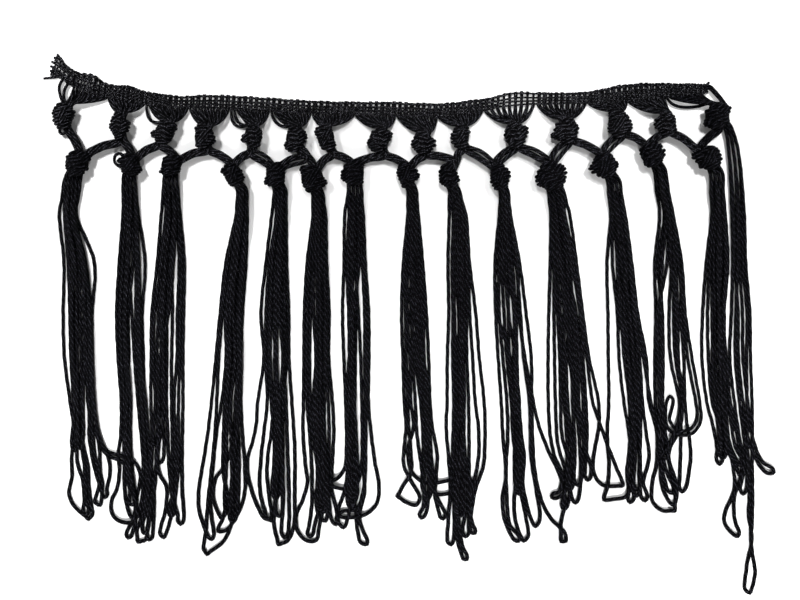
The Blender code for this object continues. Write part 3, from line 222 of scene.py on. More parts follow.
# The fans from left to right, then the valley at the last fan's right
FANS = (
    Fan(-156.4, 109.0, -152.8, -155.8, 94.0, 10.5, 12.0, 10.0),
    Fan(-136.0, 101.2, -129.0, -130.6, 89.5, 8.7, 13.0, -4.0),
    Fan(-119.0, 99.0, -108.2, -110.2, 86.5, 10.5, 10.5, -22.0),
    Fan(-99.5, 97.0, -90.6, -92.5, 84.5, 10.0, 11.0, -5.0),
    Fan(-80.9, 96.7, -70.2, -70.5, 84.8, 9.4, 10.5, 0.0),
    Fan(-62.9, 96.0, -51.2, -51.5, 83.5, 10.0, 12.0, 0.0),
    Fan(-44.3, 94.7, -37.5, -37.8, 84.2, 9.0, 11.5, 4.0),
    Fan(-24.8, 94.2, -12.6, -13.8, 83.2, 10.7, 11.5, -6.0),
    Fan(-6.1, 93.9, 7.0, 5.8, 81.8, 11.0, 10.5, -8.0),
    Fan(12.6, 93.2, 23.0, 22.8, 84.5, 8.7, 11.0, 0.0),
    Fan(32.8, 96.4, 46.4, 47.4, 85.2, 11.2, 11.5, 8.0),
    Fan(56.7, 98.6, 69.2, 70.2, 87.2, 12.3, 11.5, 4.0),
    Fan(79.8, 99.4, 93.2, 93.9, 90.2, 11.8, 12.5, 6.0),
    Fan(98.0, 100.2, 114.8, 115.1, 90.0, 10.3, 11.0, 0.0),
    Fan(115.0, 102.0, 136.8, 138.0, 93.8, 13.0, 11.5, 12.0),
)
LAST_VALLEY = (134.0, 104.4)

# The tassels' heads from left to right
HEADS = (
    Head(-149.5, 72.8, 12.4, 11.5, 6.0, -151.5, 65.5, 8.3, -158.4, -149.2),
    Head(-125.7, 72.0, 10.7, 10.0, 0.0, -126.3, 65.5, 6.8, -130.2, -121.2),
    Head(-107.2, 71.8, 10.7, 9.5, 0.0, -107.5, 65.5, 7.0, -112.7, -102.4),
    Head(-79.4, 67.5, 9.5, 11.0, 16.0, -75.6, 61.0, 5.6, -79.2, -72.2),
    Head(-60.4, 67.2, 10.2, 11.5, 10.0, -58.2, 60.5, 6.4, -62.8, -54.7),
    Head(-43.9, 66.0, 11.8, 12.0, 8.0, -41.6, 59.5, 6.2, -44.7, -36.9),
    Head(-25.4, 68.5, 11.2, 12.0, 4.0, -24.6, 61.5, 7.0, -30.2, -19.9),
    Head(-1.4, 67.5, 9.7, 12.0, 10.0, 0.9, 60.5, 5.4, -2.0, 4.7),
    Head(17.4, 67.0, 9.2, 12.0, 14.0, 20.0, 60.5, 5.8, 16.8, 26.2),
    Head(40.3, 66.5, 9.7, 12.0, 14.0, 42.4, 59.5, 5.2, 39.2, 46.2),
    Head(63.5, 66.8, 14.4, 13.5, 14.0, 65.6, 59.5, 8.2, 62.2, 72.5),
    Head(87.4, 71.8, 12.7, 11.5, 24.0, 91.4, 65.0, 7.0, 89.2, 97.9),
    Head(108.7, 76.8, 12.0, 10.5, 20.0, 112.3, 70.0, 6.0, 111.7, 119.2),
    Head(134.1, 75.0, 13.3, 11.0, 14.0, 137.6, 68.5, 7.0, 134.7, 142.9),
)

# The loops, a table for each tassel
TASSEL_1 = (
    Loop((-149.0, -148.4, -147.9, -148.2), ((-148.7, -55.5),), (-147.3, -146.8, -146.4, -147.0)),
    Loop((-151.6, -151.9, -151.3, -150.6), ((-150.8, -56.5),), (-150.4, -149.8, -149.6, -149.4)),
    Loop(
        (-155.7, -156.1, -155.5, -152.9),
        ((-151.2, -48.0), (-152.3, -61.0), (-152.0, -68.0), (-153.4, -75.5), (-151.4, -81.0),
         (-144.6, -87.4), (-143.0, -85.6), (-144.4, -74.0), (-144.9, -64.0), (-147.6, -51.0)),
        (-152.3, -150.9, -150.0, -148.6),
    ),
    Loop(
        (-153.8, -153.1, -152.6, -151.3),
        ((-150.1, -50.0), (-149.6, -62.0), (-147.1, -70.5), (-146.6, -80.0), (-145.6, -85.3),
         (-145.4, -80.0), (-146.0, -68.0), (-147.2, -58.0)),
        (-153.0, -152.0, -151.6, -150.0),
    ),
    Loop(
        (-147.4, -146.0, -145.5, -144.3),
        ((-144.3, -50.0), (-143.0, -59.0), (-140.9, -68.0), (-138.7, -74.5), (-139.4, -81.0),
         (-141.8, -79.2), (-139.9, -73.0), (-139.6, -58.0)),
        (-146.4, -143.9, -142.9, -141.9),
    ),
    Loop(
        (-146.6, -145.0, -144.2, -143.0),
        ((-142.6, -50.0), (-141.5, -60.0), (-138.4, -71.0), (-137.3, -77.6), (-136.5, -74.6),
         (-134.9, -66.5), (-135.8, -59.5), (-139.4, -51.0)),
        (-145.8, -143.4, -142.8, -142.2),
    ),
    Loop(
        (-142.1, -143.0, -142.9, -142.0),
        ((-140.4, -47.0), (-136.6, -56.2), (-129.5, -59.0), (-123.8, -61.8), (-121.3, -68.0),
         (-123.0, -78.0), (-124.4, -87.0), (-127.5, -93.4), (-126.8, -95.8), (-125.0, -94.0),
         (-123.2, -86.0), (-125.4, -72.0), (-129.0, -62.0), (-136.4, -58.2), (-142.0, -47.0)),
        (-148.0, -145.6, -144.9, -144.9),
    ),
)
TASSEL_2 = (
    Loop(
        (-130.0, -131.0, -130.7, -129.3),
        ((-128.6, -56.0), (-126.2, -72.0)),
        (-128.0, -129.2, -128.7, -127.9),
    ),
    Loop(
        (-129.2, -130.2, -129.8, -128.4),
        ((-128.4, -62.0), (-128.3, -75.0), (-126.9, -83.0), (-124.4, -86.8), (-123.0, -82.0),
         (-125.0, -66.0)),
        (-127.4, -128.4, -128.0, -126.4),
    ),
    Loop(
        (-124.7, -126.7, -126.5, -127.2),
        ((-127.2, -64.0), (-126.0, -75.0), (-124.9, -80.8), (-124.2, -75.0), (-126.2, -62.0)),
        (-126.4, -127.7, -127.1, -125.6),
    ),
    Loop(
        (-130.8, -132.0, -131.3, -129.9),
        ((-130.2, -50.0), (-131.2, -58.0), (-130.7, -66.0), (-131.8, -73.5), (-134.4, -80.0),
         (-133.8, -85.4), (-129.5, -88.6), (-124.0, -88.2), (-120.9, -80.0), (-120.0, -64.0)),
        (-126.5, -125.2, -124.0, -122.4),
    ),
    Loop(
        (-123.3, -123.4, -122.9, -121.2),
        ((-119.9, -50.0), (-118.7, -66.0), (-120.2, -84.0), (-122.9, -93.0), (-122.4, -97.6),
         (-119.0, -96.6), (-117.6, -84.0), (-117.3, -62.0)),
        (-119.2, -120.5, -120.0, -119.5),
    ),
    Loop(
        (-122.9, -122.2, -121.7, -120.4),
        ((-119.2, -52.0), (-117.8, -70.0), (-116.6, -84.0), (-117.4, -96.6), (-115.6, -92.0),
         (-115.2, -78.0), (-116.8, -60.0)),
        (-121.9, -121.4, -121.0, -118.9),
    ),
)
TASSEL_3 = (
    Loop((-112.4, -113.2, -113.9, -113.2), ((-112.4, -62.0),), (-110.9, -112.0, -112.0, -111.4)),
    Loop((-111.6, -114.9, -115.4, -114.6), ((-114.2, -54.0),), (-109.9, -110.8, -110.8, -110.4)),
    Loop(
        (-113.7, -116.2, -116.5, -116.6),
        ((-115.9, -52.0), (-116.6, -66.0), (-118.6, -82.0), (-119.6, -93.6), (-117.6, -90.0),
         (-114.8, -72.0), (-113.9, -56.0)),
        (-109.2, -110.4, -110.6, -112.3),
    ),
    Loop(
        (-108.2, -109.4, -109.4, -109.6),
        ((-109.0, -50.0), (-108.4, -64.0), (-106.8, -78.0), (-104.4, -86.0), (-103.3, -89.6),
         (-101.7, -86.0), (-102.4, -76.0), (-102.6, -60.0)),
        (-101.6, -101.9, -102.2, -102.2),
    ),
    Loop(
        (-107.2, -106.9, -107.3, -107.3),
        ((-106.9, -52.0), (-106.9, -68.0), (-106.8, -82.0), (-108.2, -89.0), (-110.8, -95.6),
         (-112.6, -93.4), (-110.0, -83.0), (-109.6, -73.0), (-113.2, -65.4), (-112.8, -50.0)),
        (-106.4, -108.6, -112.4, -112.9),
    ),
    Loop(
        (-103.9, -104.7, -104.9, -106.2),
        ((-105.3, -56.0), (-105.6, -72.0), (-107.6, -86.0), (-105.9, -80.0), (-104.4, -66.0)),
        (-102.6, -103.2, -103.6, -104.2),
    ),
)
TASSEL_4 = (
    Loop(
        (-82.9, -85.5, -87.4, -89.4),
        ((-91.2, -50.0), (-93.1, -62.0), (-94.9, -73.0), (-95.1, -82.0), (-92.4, -91.5),
         (-89.2, -96.4), (-88.5, -92.0), (-89.9, -80.0), (-88.7, -64.0), (-87.0, -48.0)),
        (-81.2, -83.0, -82.8, -84.8),
    ),
    Loop((-79.0, -80.8, -80.8, -82.2), ((-82.6, -60.0), (-81.8, -84.0)), (-77.8, -79.4, -78.4, -80.6)),
    Loop(
        (-81.9, -84.4, -86.1, -87.0),
        ((-88.0, -52.0), (-89.4, -66.0), (-90.9, -80.0), (-91.9, -93.0), (-92.9, -101.0),
         (-91.4, -103.2), (-84.2, -97.6), (-80.7, -91.0), (-79.2, -80.0), (-78.4, -60.0)),
        (-79.9, -82.3, -81.9, -81.6),
    ),
    Loop(
        (-78.4, -80.2, -79.4, -80.9),
        ((-80.8, -57.0), (-83.8, -64.0), (-87.2, -68.8), (-88.6, -77.0), (-84.6, -87.0),
         (-81.0, -80.0), (-79.4, -64.0)),
        (-76.4, -78.2, -77.4, -78.7),
    ),
    Loop(
        (-73.8, -75.4, -76.0, -76.1),
        ((-75.4, -50.0), (-74.3, -64.0), (-74.6, -77.0), (-78.2, -86.4), (-82.4, -92.0),
         (-86.3, -92.8), (-84.2, -87.0), (-82.3, -77.0), (-84.0, -67.0), (-84.0, -50.0)),
        (-79.6, -81.6, -82.2, -83.4),
    ),
    Loop((-75.6, -76.9, -76.7, -77.6), ((-77.0, -62.0), (-79.8, -88.6)), (-74.8, -76.2, -75.9, -76.4)),
)
TASSEL_5 = (
    Loop(
        (-64.8, -67.1, -65.8, -68.6),
        ((-69.4, -46.0), (-71.0, -53.0), (-73.2, -61.0), (-72.9, -68.0), (-69.9, -78.5),
         (-65.6, -86.8), (-61.6, -88.0), (-60.2, -76.0), (-60.4, -58.0)),
        (-60.2, -60.6, -60.9, -60.4),
    ),
    Loop(
        (-63.2, -64.8, -64.9, -64.3),
        ((-65.5, -46.0), (-67.1, -60.0), (-67.6, -74.0), (-65.2, -84.6), (-62.9, -87.4),
         (-63.0, -80.0), (-64.4, -67.0), (-63.9, -58.0), (-62.4, -48.0)),
        (-61.9, -62.5, -62.9, -61.6),
    ),
    Loop((-58.9, -59.6, -60.0, -59.2), ((-59.2, -60.0), (-58.8, -86.0)), (-58.0, -58.5, -57.2, -58.4)),
    Loop(
        (-60.9, -61.6, -60.4, -59.8),
        ((-59.8, -60.0), (-60.6, -78.0), (-61.2, -90.0), (-59.2, -98.8), (-55.2, -97.2),
         (-52.4, -91.0), (-51.9, -74.0), (-51.9, -56.0)),
        (-55.5, -54.6, -54.5, -53.2),
    ),
    Loop(
        (-56.5, -56.4, -56.6, -55.8),
        ((-55.2, -54.0), (-54.5, -76.0), (-54.5, -89.0), (-56.6, -95.6), (-57.4, -84.0),
         (-57.2, -62.0)),
        (-57.4, -57.6, -57.0, -57.2),
    ),
    Loop((-62.9, -63.6, -63.8, -62.4), ((-61.0, -56.0), (-60.4, -78.0)), (-57.6, -56.0, -55.6, -57.0)),
)
TASSEL_6 = (
    Loop((-42.0, -41.6, -41.6, -41.7), ((-40.8, -58.0), (-39.8, -83.0)), (-40.6, -40.2, -40.2, -40.2)),
    Loop(
        (-46.3, -47.6, -47.8, -48.0),
        ((-48.2, -48.0), (-47.2, -62.0), (-46.2, -71.0), (-48.0, -78.0), (-51.2, -86.0),
         (-50.6, -92.6), (-46.4, -97.0), (-42.2, -96.8), (-40.8, -90.0), (-38.8, -80.0),
         (-38.6, -58.0)),
        (-40.0, -39.2, -38.6, -38.6),
    ),
    Loop(
        (-45.0, -46.0, -46.3, -46.3),
        ((-45.1, -50.0), (-44.2, -66.0), (-44.3, -82.0), (-45.8, -92.0), (-45.0, -95.2),
         (-43.2, -91.0), (-40.2, -80.0), (-39.8, -66.0), (-42.2, -50.0)),
        (-43.4, -43.3, -42.4, -43.4),
    ),
    Loop(
        (-43.9, -44.8, -45.2, -44.8),
        ((-43.6, -50.0), (-41.6, -66.0), (-42.2, -78.0), (-41.4, -85.0), (-38.0, -88.2),
         (-37.4, -76.0), (-38.9, -60.0)),
        (-38.6, -38.2, -39.2, -40.6),
    ),
    Loop(
        (-37.5, -36.4, -36.6, -34.9),
        ((-34.3, -48.0), (-35.1, -64.0), (-35.2, -74.0), (-33.2, -83.0), (-33.3, -89.8),
         (-36.0, -84.0), (-36.8, -68.0), (-36.4, -50.0)),
        (-38.3, -37.8, -37.6, -36.8),
    ),
    Loop((-41.4, -40.9, -41.0, -42.6), ((-39.6, -60.0), (-38.4, -84.0)), (-39.4, -40.4, -39.8, -39.4)),
)
TASSEL_7 = (
    Loop((-28.4, -27.6, -27.4, -28.0), ((-27.6, -60.0), (-26.6, -82.0)), (-27.0, -26.4, -26.4, -26.6)),
    Loop(
        (-29.7, -30.4, -29.8, -29.0),
        ((-28.6, -56.0), (-29.6, -65.0), (-32.8, -69.0), (-35.9, -71.0), (-33.4, -73.0),
         (-28.0, -73.6), (-23.6, -70.6), (-21.8, -62.0), (-21.5, -50.0)),
        (-24.4, -23.2, -22.2, -21.7),
    ),
    Loop(
        (-27.6, -27.0, -26.6, -27.4),
        ((-27.9, -62.0), (-29.0, -73.0), (-31.9, -82.0), (-33.0, -87.8), (-29.8, -91.2),
         (-28.4, -88.0), (-26.2, -78.0), (-26.4, -60.0)),
        (-26.2, -25.4, -25.2, -25.8),
    ),
    Loop(
        (-23.6, -24.3, -24.6, -24.8),
        ((-25.6, -60.0), (-25.9, -74.0), (-24.4, -84.0), (-23.7, -92.0), (-22.4, -97.6),
         (-19.2, -98.6), (-20.6, -94.0), (-22.8, -86.0), (-20.6, -76.0), (-20.9, -60.0)),
        (-21.4, -20.4, -20.4, -20.2),
    ),
    Loop(
        (-20.1, -18.6, -18.5, -18.7),
        ((-17.8, -46.0), (-16.1, -60.0), (-13.9, -74.0), (-15.6, -81.4), (-21.0, -85.6),
         (-28.0, -86.6), (-32.0, -85.2), (-24.0, -82.6), (-20.9, -74.0), (-20.0, -54.0)),
        (-21.0, -20.0, -19.6, -19.8),
    ),
    Loop((-25.6, -26.2, -27.4, -28.6), ((-27.0, -52.0), (-25.4, -80.0)), (-22.8, -25.4, -25.8, -24.8)),
)
TASSEL_8 = (
    Loop((-0.2, 2.6, 2.6, 5.4), ((6.6, -60.0), (8.0, -78.0)), (0.8, 3.4, 3.6, 6.6)),
    Loop(
        (1.4, 1.0, 1.2, 2.4),
        ((3.2, -50.0), (4.6, -60.0), (6.2, -72.0), (5.9, -82.0), (5.0, -86.8), (7.9, -81.0),
         (8.4, -70.0), (7.2, -56.0)),
        (2.6, 4.4, 5.0, 7.6),
    ),
    Loop(
        (-3.0, -3.8, -3.2, -2.6),
        ((-1.8, -46.0), (-2.9, -58.0), (-2.6, -64.0), (0.6, -70.4), (4.4, -78.0), (2.8, -81.0),
         (-2.8, -79.2), (-5.8, -77.0), (-3.0, -72.0), (0.3, -67.0), (0.3, -56.0), (-0.6, -46.0)),
        (-2.2, -2.0, -1.7, -1.0),
    ),
    Loop(
        (-1.0, -1.2, 0.0, 0.4),
        ((1.6, -46.0), (-1.0, -56.0), (0.6, -65.6), (5.4, -70.4), (12.0, -70.9), (20.0, -69.4),
         (27.2, -69.2), (28.2, -71.6), (22.0, -74.4), (12.0, -76.0), (9.4, -72.0), (9.0, -56.0)),
        (3.6, 5.2, 5.4, 9.0),
    ),
    Loop(
        (5.7, 7.4, 8.4, 9.0),
        ((10.0, -46.0), (12.2, -58.0), (11.8, -68.0), (11.3, -77.0), (13.2, -85.0), (15.0, -87.2),
         (15.6, -84.2), (11.6, -76.0), (10.2, -66.0), (9.0, -50.0)),
        (4.8, 6.0, 6.4, 8.4),
    ),
    Loop((0.6, 0.4, 2.2, 4.8), ((6.0, -54.0), (7.2, -76.0)), (2.0, 2.2, 4.4, 6.0)),
)
TASSEL_9 = (
    Loop((22.0, 23.0, 22.6, 23.0), ((23.6, -60.0), (22.2, -86.0)), (23.2, 23.9, 24.0, 24.4)),
    Loop(
        (17.1, 17.4, 16.8, 16.7),
        ((16.3, -46.0), (17.4, -60.0), (18.2, -72.0), (17.2, -88.0), (16.8, -96.4), (18.4, -98.8),
         (19.9, -94.0), (19.8, -78.0), (19.2, -60.0)),
        (18.9, 19.3, 19.2, 19.7),
    ),
    Loop(
        (20.2, 21.9, 21.8, 21.4),
        ((21.6, -54.0), (20.2, -68.0), (20.4, -86.0), (21.6, -98.0), (23.6, -104.4), (25.6, -105.4),
         (24.2, -101.0), (22.2, -92.0), (22.0, -70.0), (23.2, -54.0)),
        (21.0, 22.8, 23.2, 23.4),
    ),
    Loop(
        (24.0, 24.5, 24.0, 24.3),
        ((24.4, -54.0), (25.6, -68.0), (24.8, -84.0), (24.9, -95.2), (26.4, -88.0), (26.6, -66.0)),
        (25.2, 25.4, 25.6, 26.4),
    ),
    Loop(
        (26.8, 29.6, 31.2, 33.4),
        ((33.8, -50.0), (32.9, -64.0), (29.9, -72.4), (27.9, -82.0), (27.1, -92.6), (29.3, -93.6),
         (28.4, -90.4), (26.8, -80.0), (28.7, -71.0), (30.8, -60.0), (30.8, -46.0)),
        (26.2, 26.9, 28.2, 29.4),
    ),
    Loop((19.6, 20.0, 20.6, 20.9), ((20.9, -60.0), (21.4, -84.0)), (22.6, 22.4, 22.8, 22.4)),
)
TASSEL_10 = (
    Loop((42.4, 44.2, 44.6, 46.6), ((48.4, -60.0), (49.0, -76.0)), (43.8, 46.8, 46.6, 48.0)),
    Loop(
        (38.3, 38.6, 39.7, 41.1),
        ((41.8, -50.0), (43.2, -68.0), (41.6, -79.0), (43.0, -89.0), (48.8, -97.2), (45.0, -90.0),
         (43.6, -78.0), (43.2, -64.0), (44.0, -50.0)),
        (39.9, 40.2, 41.8, 43.6),
    ),
    Loop(
        (41.2, 42.3, 43.6, 45.6),
        ((46.4, -50.0), (48.4, -66.0), (46.8, -80.0), (47.9, -90.0), (51.2, -97.2), (53.3, -94.4),
         (51.4, -83.0), (49.4, -72.0), (49.2, -54.0)),
        (45.2, 46.9, 47.2, 49.3),
    ),
    Loop(
        (44.4, 44.4, 47.4, 47.4),
        ((49.8, -48.0), (51.4, -60.0), (50.7, -71.0), (53.4, -84.0), (56.4, -90.6), (58.5, -87.0),
         (56.8, -74.0), (54.6, -60.0), (54.2, -46.0)),
        (47.6, 49.7, 51.2, 53.8),
    ),
    Loop(
        (49.3, 52.3, 54.6, 54.8),
        ((55.2, -52.0), (56.2, -66.0), (59.2, -79.0), (63.0, -86.6), (69.6, -93.6), (70.2, -97.2),
         (68.0, -97.4), (67.9, -90.0), (69.8, -78.0), (67.4, -67.6), (62.2, -56.6), (57.6, -44.0)),
        (48.4, 49.0, 51.8, 55.6),
    ),
    Loop((46.0, 47.6, 48.2, 48.8), ((50.2, -50.0), (49.0, -74.0)), (40.4, 39.6, 45.2, 47.2)),
)
TASSEL_11 = (
    Loop((66.0, 67.6, 68.0, 69.4), ((70.8, -56.0), (72.0, -74.0)), (67.4, 69.2, 69.2, 70.4)),
    Loop((70.4, 71.6, 73.0, 73.2), ((74.2, -56.0), (75.4, -72.0)), (71.8, 73.0, 74.0, 74.9)),
    Loop(
        (63.1, 62.5, 62.2, 62.3),
        ((63.2, -50.0), (65.0, -59.0), (68.4, -68.0), (67.0, -75.0), (63.8, -77.6), (69.2, -75.2),
         (69.8, -66.0), (66.6, -54.0)),
        (64.6, 64.8, 65.1, 65.5),
    ),
    Loop(
        (68.8, 70.4, 71.8, 73.9),
        ((72.8, -54.0), (71.8, -66.0), (72.2, -75.0), (74.6, -80.0), (76.6, -73.0), (77.9, -60.0)),
        (70.0, 74.8, 76.4, 77.9),
    ),
    Loop(
        (65.2, 66.4, 67.4, 67.8),
        ((68.4, -50.0), (71.2, -61.0), (70.2, -73.0), (69.2, -82.8), (72.0, -73.0), (73.2, -58.0)),
        (69.6, 71.6, 70.4, 71.0),
    ),
    Loop(
        (72.8, 76.4, 77.8, 79.2),
        ((79.7, -50.0), (79.0, -62.0), (79.9, -69.8), (81.6, -65.0), (78.4, -54.0)),
        (71.4, 73.8, 75.6, 76.0),
    ),
    Loop(
        (74.9, 77.8, 80.6, 84.9),
        ((85.0, -46.0), (83.0, -57.0), (82.6, -66.0), (86.4, -71.8), (95.8, -72.2), (93.6, -66.0),
         (89.6, -56.0), (84.9, -43.0)),
        (74.2, 77.0, 79.6, 82.3),
    ),
)
TASSEL_12 = (
    Loop((95.4, 96.4, 98.4, 99.9), ((101.6, -52.0), (102.2, -74.0)), (96.6, 97.8, 99.8, 101.2)),
    Loop(
        (88.7, 89.1, 89.3, 89.5),
        ((88.8, -50.0), (89.6, -66.0), (88.4, -74.6), (87.2, -78.6), (91.0, -78.4), (97.2, -77.0),
         (99.3, -70.0), (98.9, -52.0)),
        (91.1, 93.3, 94.1, 96.3),
    ),
    Loop(
        (94.2, 95.0, 96.4, 98.7),
        ((98.9, -54.0), (97.7, -67.0), (98.4, -76.0), (99.0, -79.8), (100.8, -76.0), (100.4, -58.0)),
        (97.8, 99.2, 101.2, 101.4),
    ),
    Loop(
        (99.2, 101.0, 102.0, 103.7),
        ((103.6, -52.0), (103.2, -70.0), (105.8, -79.0), (105.0, -71.0), (107.6, -60.0), (106.2, -48.0)),
        (98.6, 100.4, 103.2, 104.6),
    ),
    Loop(
        (99.8, 102.5, 106.3, 107.6),
        ((110.6, -46.0), (112.2, -60.0), (114.6, -70.0), (118.0, -75.6), (115.4, -66.0), (112.6, -54.0)),
        (97.2, 101.6, 105.0, 108.4),
    ),
    Loop((93.2, 94.0, 98.0, 98.9), ((101.0, -60.0), (101.6, -77.0)), (94.8, 98.6, 100.2, 102.4)),
)
TASSEL_13 = (
    Loop((112.6, 113.4, 113.9, 113.6), ((113.6, -50.0), (114.8, -60.0)), (113.4, 112.4, 112.8, 112.6)),
    Loop(
        (110.2, 110.6, 110.2, 110.4),
        ((111.4, -50.0), (110.9, -63.0), (108.9, -72.0), (109.4, -80.0), (114.0, -83.6), (119.2, -83.6),
         (119.4, -77.0), (117.4, -66.0), (114.2, -52.0)),
        (111.6, 113.6, 113.8, 113.2),
    ),
    Loop(
        (117.6, 116.6, 117.2, 121.2),
        ((120.9, -42.0), (118.6, -50.6), (114.6, -56.0), (112.8, -64.0), (113.8, -74.0), (118.6, -81.0),
         (119.8, -72.0), (116.4, -58.0), (121.6, -46.0)),
        (118.8, 118.6, 119.4, 122.4),
    ),
    Loop(
        (119.4, 120.4, 120.8, 121.8),
        ((121.9, -50.0), (121.5, -66.0), (122.4, -75.0), (125.6, -66.0), (126.3, -57.0), (124.6, -44.0)),
        (121.9, 121.8, 123.2, 123.8),
    ),
    Loop(
        (122.2, 123.9, 126.9, 130.4),
        ((130.8, -43.0), (127.4, -48.4), (121.0, -49.4), (115.9, -46.4), (115.0, -39.0), (117.0, -32.0),
         (118.4, -35.4), (116.9, -43.0), (121.0, -47.6), (127.0, -46.0), (129.2, -41.0)),
        (120.6, 123.0, 124.9, 128.6),
    ),
    Loop((115.6, 111.2, 111.4, 112.0), ((113.0, -58.0),), (117.2, 119.6, 120.2, 122.8)),
)
TASSEL_14 = (
    Loop((136.4, 137.2, 137.4, 138.8), ((140.6, -60.0),), (138.0, 138.6, 138.8, 140.2)),
    Loop(
        (133.4, 131.7, 131.4, 133.6),
        ((136.4, -46.0), (138.1, -56.0), (139.2, -62.6), (140.8, -56.0), (138.8, -44.0)),
        (134.8, 133.9, 134.3, 136.0),
    ),
    Loop(
        (136.0, 135.9, 136.4, 138.0),
        ((140.4, -48.0), (143.6, -58.0), (147.0, -64.4), (149.8, -67.8), (146.2, -59.6), (142.6, -48.0)),
        (140.9, 141.4, 141.6, 142.6),
    ),
    Loop(
        (139.6, 140.0, 140.2, 141.2),
        ((141.9, -52.0), (145.0, -62.0), (145.9, -74.0), (141.9, -84.0), (141.6, -89.4), (147.6, -95.0),
         (146.4, -89.0), (145.8, -78.0), (149.2, -66.0), (147.8, -54.0)),
        (143.0, 141.2, 141.0, 144.2),
    ),
    Loop(
        (142.6, 139.4, 139.6, 139.8),
        ((142.6, -54.0), (146.6, -61.0), (150.6, -63.6), (147.0, -56.6), (144.4, -44.0)),
        (141.8, 140.6, 142.2, 143.8),
    ),
    Loop((137.4, 138.0, 136.0, 137.2), ((142.0, -57.0),), (138.8, 139.2, 140.8, 141.6)),
)
# Loops of the last fan's right half, which hang from its knot
FREE_LOOPS = (
    Loop(
        (149.6, 151.6, 151.4, 151.6),
        ((151.8, -56.0), (152.8, -74.0), (152.4, -86.0), (153.8, -96.0), (151.6, -108.0), (150.6, -118.6),
         (152.8, -120.6), (155.2, -112.0), (153.4, -98.0), (154.0, -84.0), (153.9, -60.0)),
        (151.0, 152.9, 153.2, 153.9),
    ),
    Loop(
        (146.2, 147.6, 147.8, 149.8),
        ((151.8, -50.0), (154.8, -58.6), (159.4, -65.8), (163.8, -66.2), (158.6, -61.6), (154.2, -51.0)),
        (148.2, 149.6, 149.8, 152.0),
    ),
    Loop(
        (145.2, 144.6, 143.9, 146.0),
        ((148.0, -50.0), (150.2, -62.0), (149.8, -76.0), (151.4, -62.0), (149.8, -48.0)),
        (147.2, 146.6, 146.4, 148.2),
    ),
)
TASSELS = (
    TASSEL_1, TASSEL_2, TASSEL_3, TASSEL_4, TASSEL_5, TASSEL_6, TASSEL_7,
    TASSEL_8, TASSEL_9, TASSEL_10, TASSEL_11, TASSEL_12, TASSEL_13, TASSEL_14,
)


# Where the two legs part below each fan's knot, and where two legs meet above each tassel's knot
PARTINGS = (
    (-155.2, 86.7), (-129.7, 81.0), (-112.6, 79.1), (-90.7, 76.8), (-71.3, 75.7),
    (-46.8, 73.7), (-34.2, 75.0), (-11.2, 74.6), (7.4, 74.8), (24.6, 77.6),
    (48.4, 78.4), (72.6, 81.3), (96.3, 84.1), (116.2, 85.1), (140.0, 86.8),
)
MEETINGS = (
    (-146.9, 77.8), (-123.8, 76.4), (-104.0, 75.8), (-79.4, 73.7), (-60.3, 71.4),
    (-42.5, 71.7), (-25.4, 73.9), (-0.5, 72.5), (19.8, 75.2), (37.7, 73.4),
    (62.8, 74.4), (86.1, 78.4), (106.5, 82.3), (129.4, 80.7),
)

# Gaps in mm between the cords of a leg, by the fan's number and the side: 1 right, -1 left
LEG_GAPS = {
    (4, 1): 1.5, (5, -1): 1.6, (9, 1): 1.5, (10, -1): 1.2, (10, 1): 1.2, (11, -1): 1.9, (12, -1): 1.5,
}

# How far the two outermost left cords of a fan hang out from the others, in mm, by the fan's number
SLACK = {2: (3.0, 0.0), 4: (3.2, 1.7), 5: (1.7, 0.0), 14: (3.4, 0.0)}

# How far the knitting stands open along the heading: x, then 0 for shut to about 1.4 for a grid of holes
OPENNESS = (
    (-161.0, 0.7), (-147.0, 0.7), (-140.0, 0.4), (-130.0, 0.1), (-112.0, 0.1), (-106.0, 1.0),
    (-62.0, 0.9), (-40.0, 0.9), (-28.0, 0.5), (-16.0, 1.1), (-12.0, 0.7), (-3.0, 1.0),
    (10.0, 0.7), (17.0, 0.4), (30.0, 0.6), (34.0, 0.6), (41.0, 1.0), (46.0, 1.35),
    (56.0, 1.35), (60.0, 0.8), (79.0, 0.7), (85.0, 0.3), (134.0, 0.25),
)

# Slits in mm beside a tassel's outermost cords, left and right, below its knot
SLITS = {
    0: (1.5, 0.0), 2: (1.1, 0.0), 4: (1.3, 0.0), 6: (1.0, 0.0), 8: (0.9, 0.0), 10: (0.0, 1.3),
    12: (1.3, 0.0),
}

# Share of their full width that a fan's cords keep near the heading
FAN_FULLNESS = {10: 0.8, 11: 0.9}

# Cords that hang loose beside a fan: fan number, then points with x, y and z
LOOSE_CORDS = (
    (0, ((-152.2, 112.4, 1.3), (-156.2, 110.2, 1.6), (-157.7, 107.0, 1.8), (-157.2, 103.2, 2.2),
         (-156.0, 99.6, 3.2), (-155.8, 95.0, 3.8))),
    (0, ((-150.2, 111.4, 1.3), (-153.4, 108.9, 1.6), (-155.2, 106.0, 1.8), (-155.6, 103.0, 2.3),
         (-155.0, 99.4, 3.4), (-155.0, 95.0, 3.8))),
    (0, ((-154.0, 90.0, 4.0), (-156.8, 88.6, 3.8), (-157.4, 86.8, 3.2), (-156.2, 85.8, 3.0),
         (-154.8, 86.8, 3.4), (-153.8, 88.8, 3.8))),
    (14, ((131.0, 107.0, 1.5), (134.6, 107.4, 1.8), (137.6, 104.6, 2.3), (141.3, 99.8, 3.0),
          (143.2, 96.0, 3.6), (141.0, 93.4, 3.8))),
    (14, ((130.6, 105.4, 1.5), (134.2, 106.4, 1.7), (137.1, 103.9, 2.2), (140.1, 100.2, 3.0),
          (142.0, 96.6, 3.6), (139.8, 93.4, 3.8))),
)

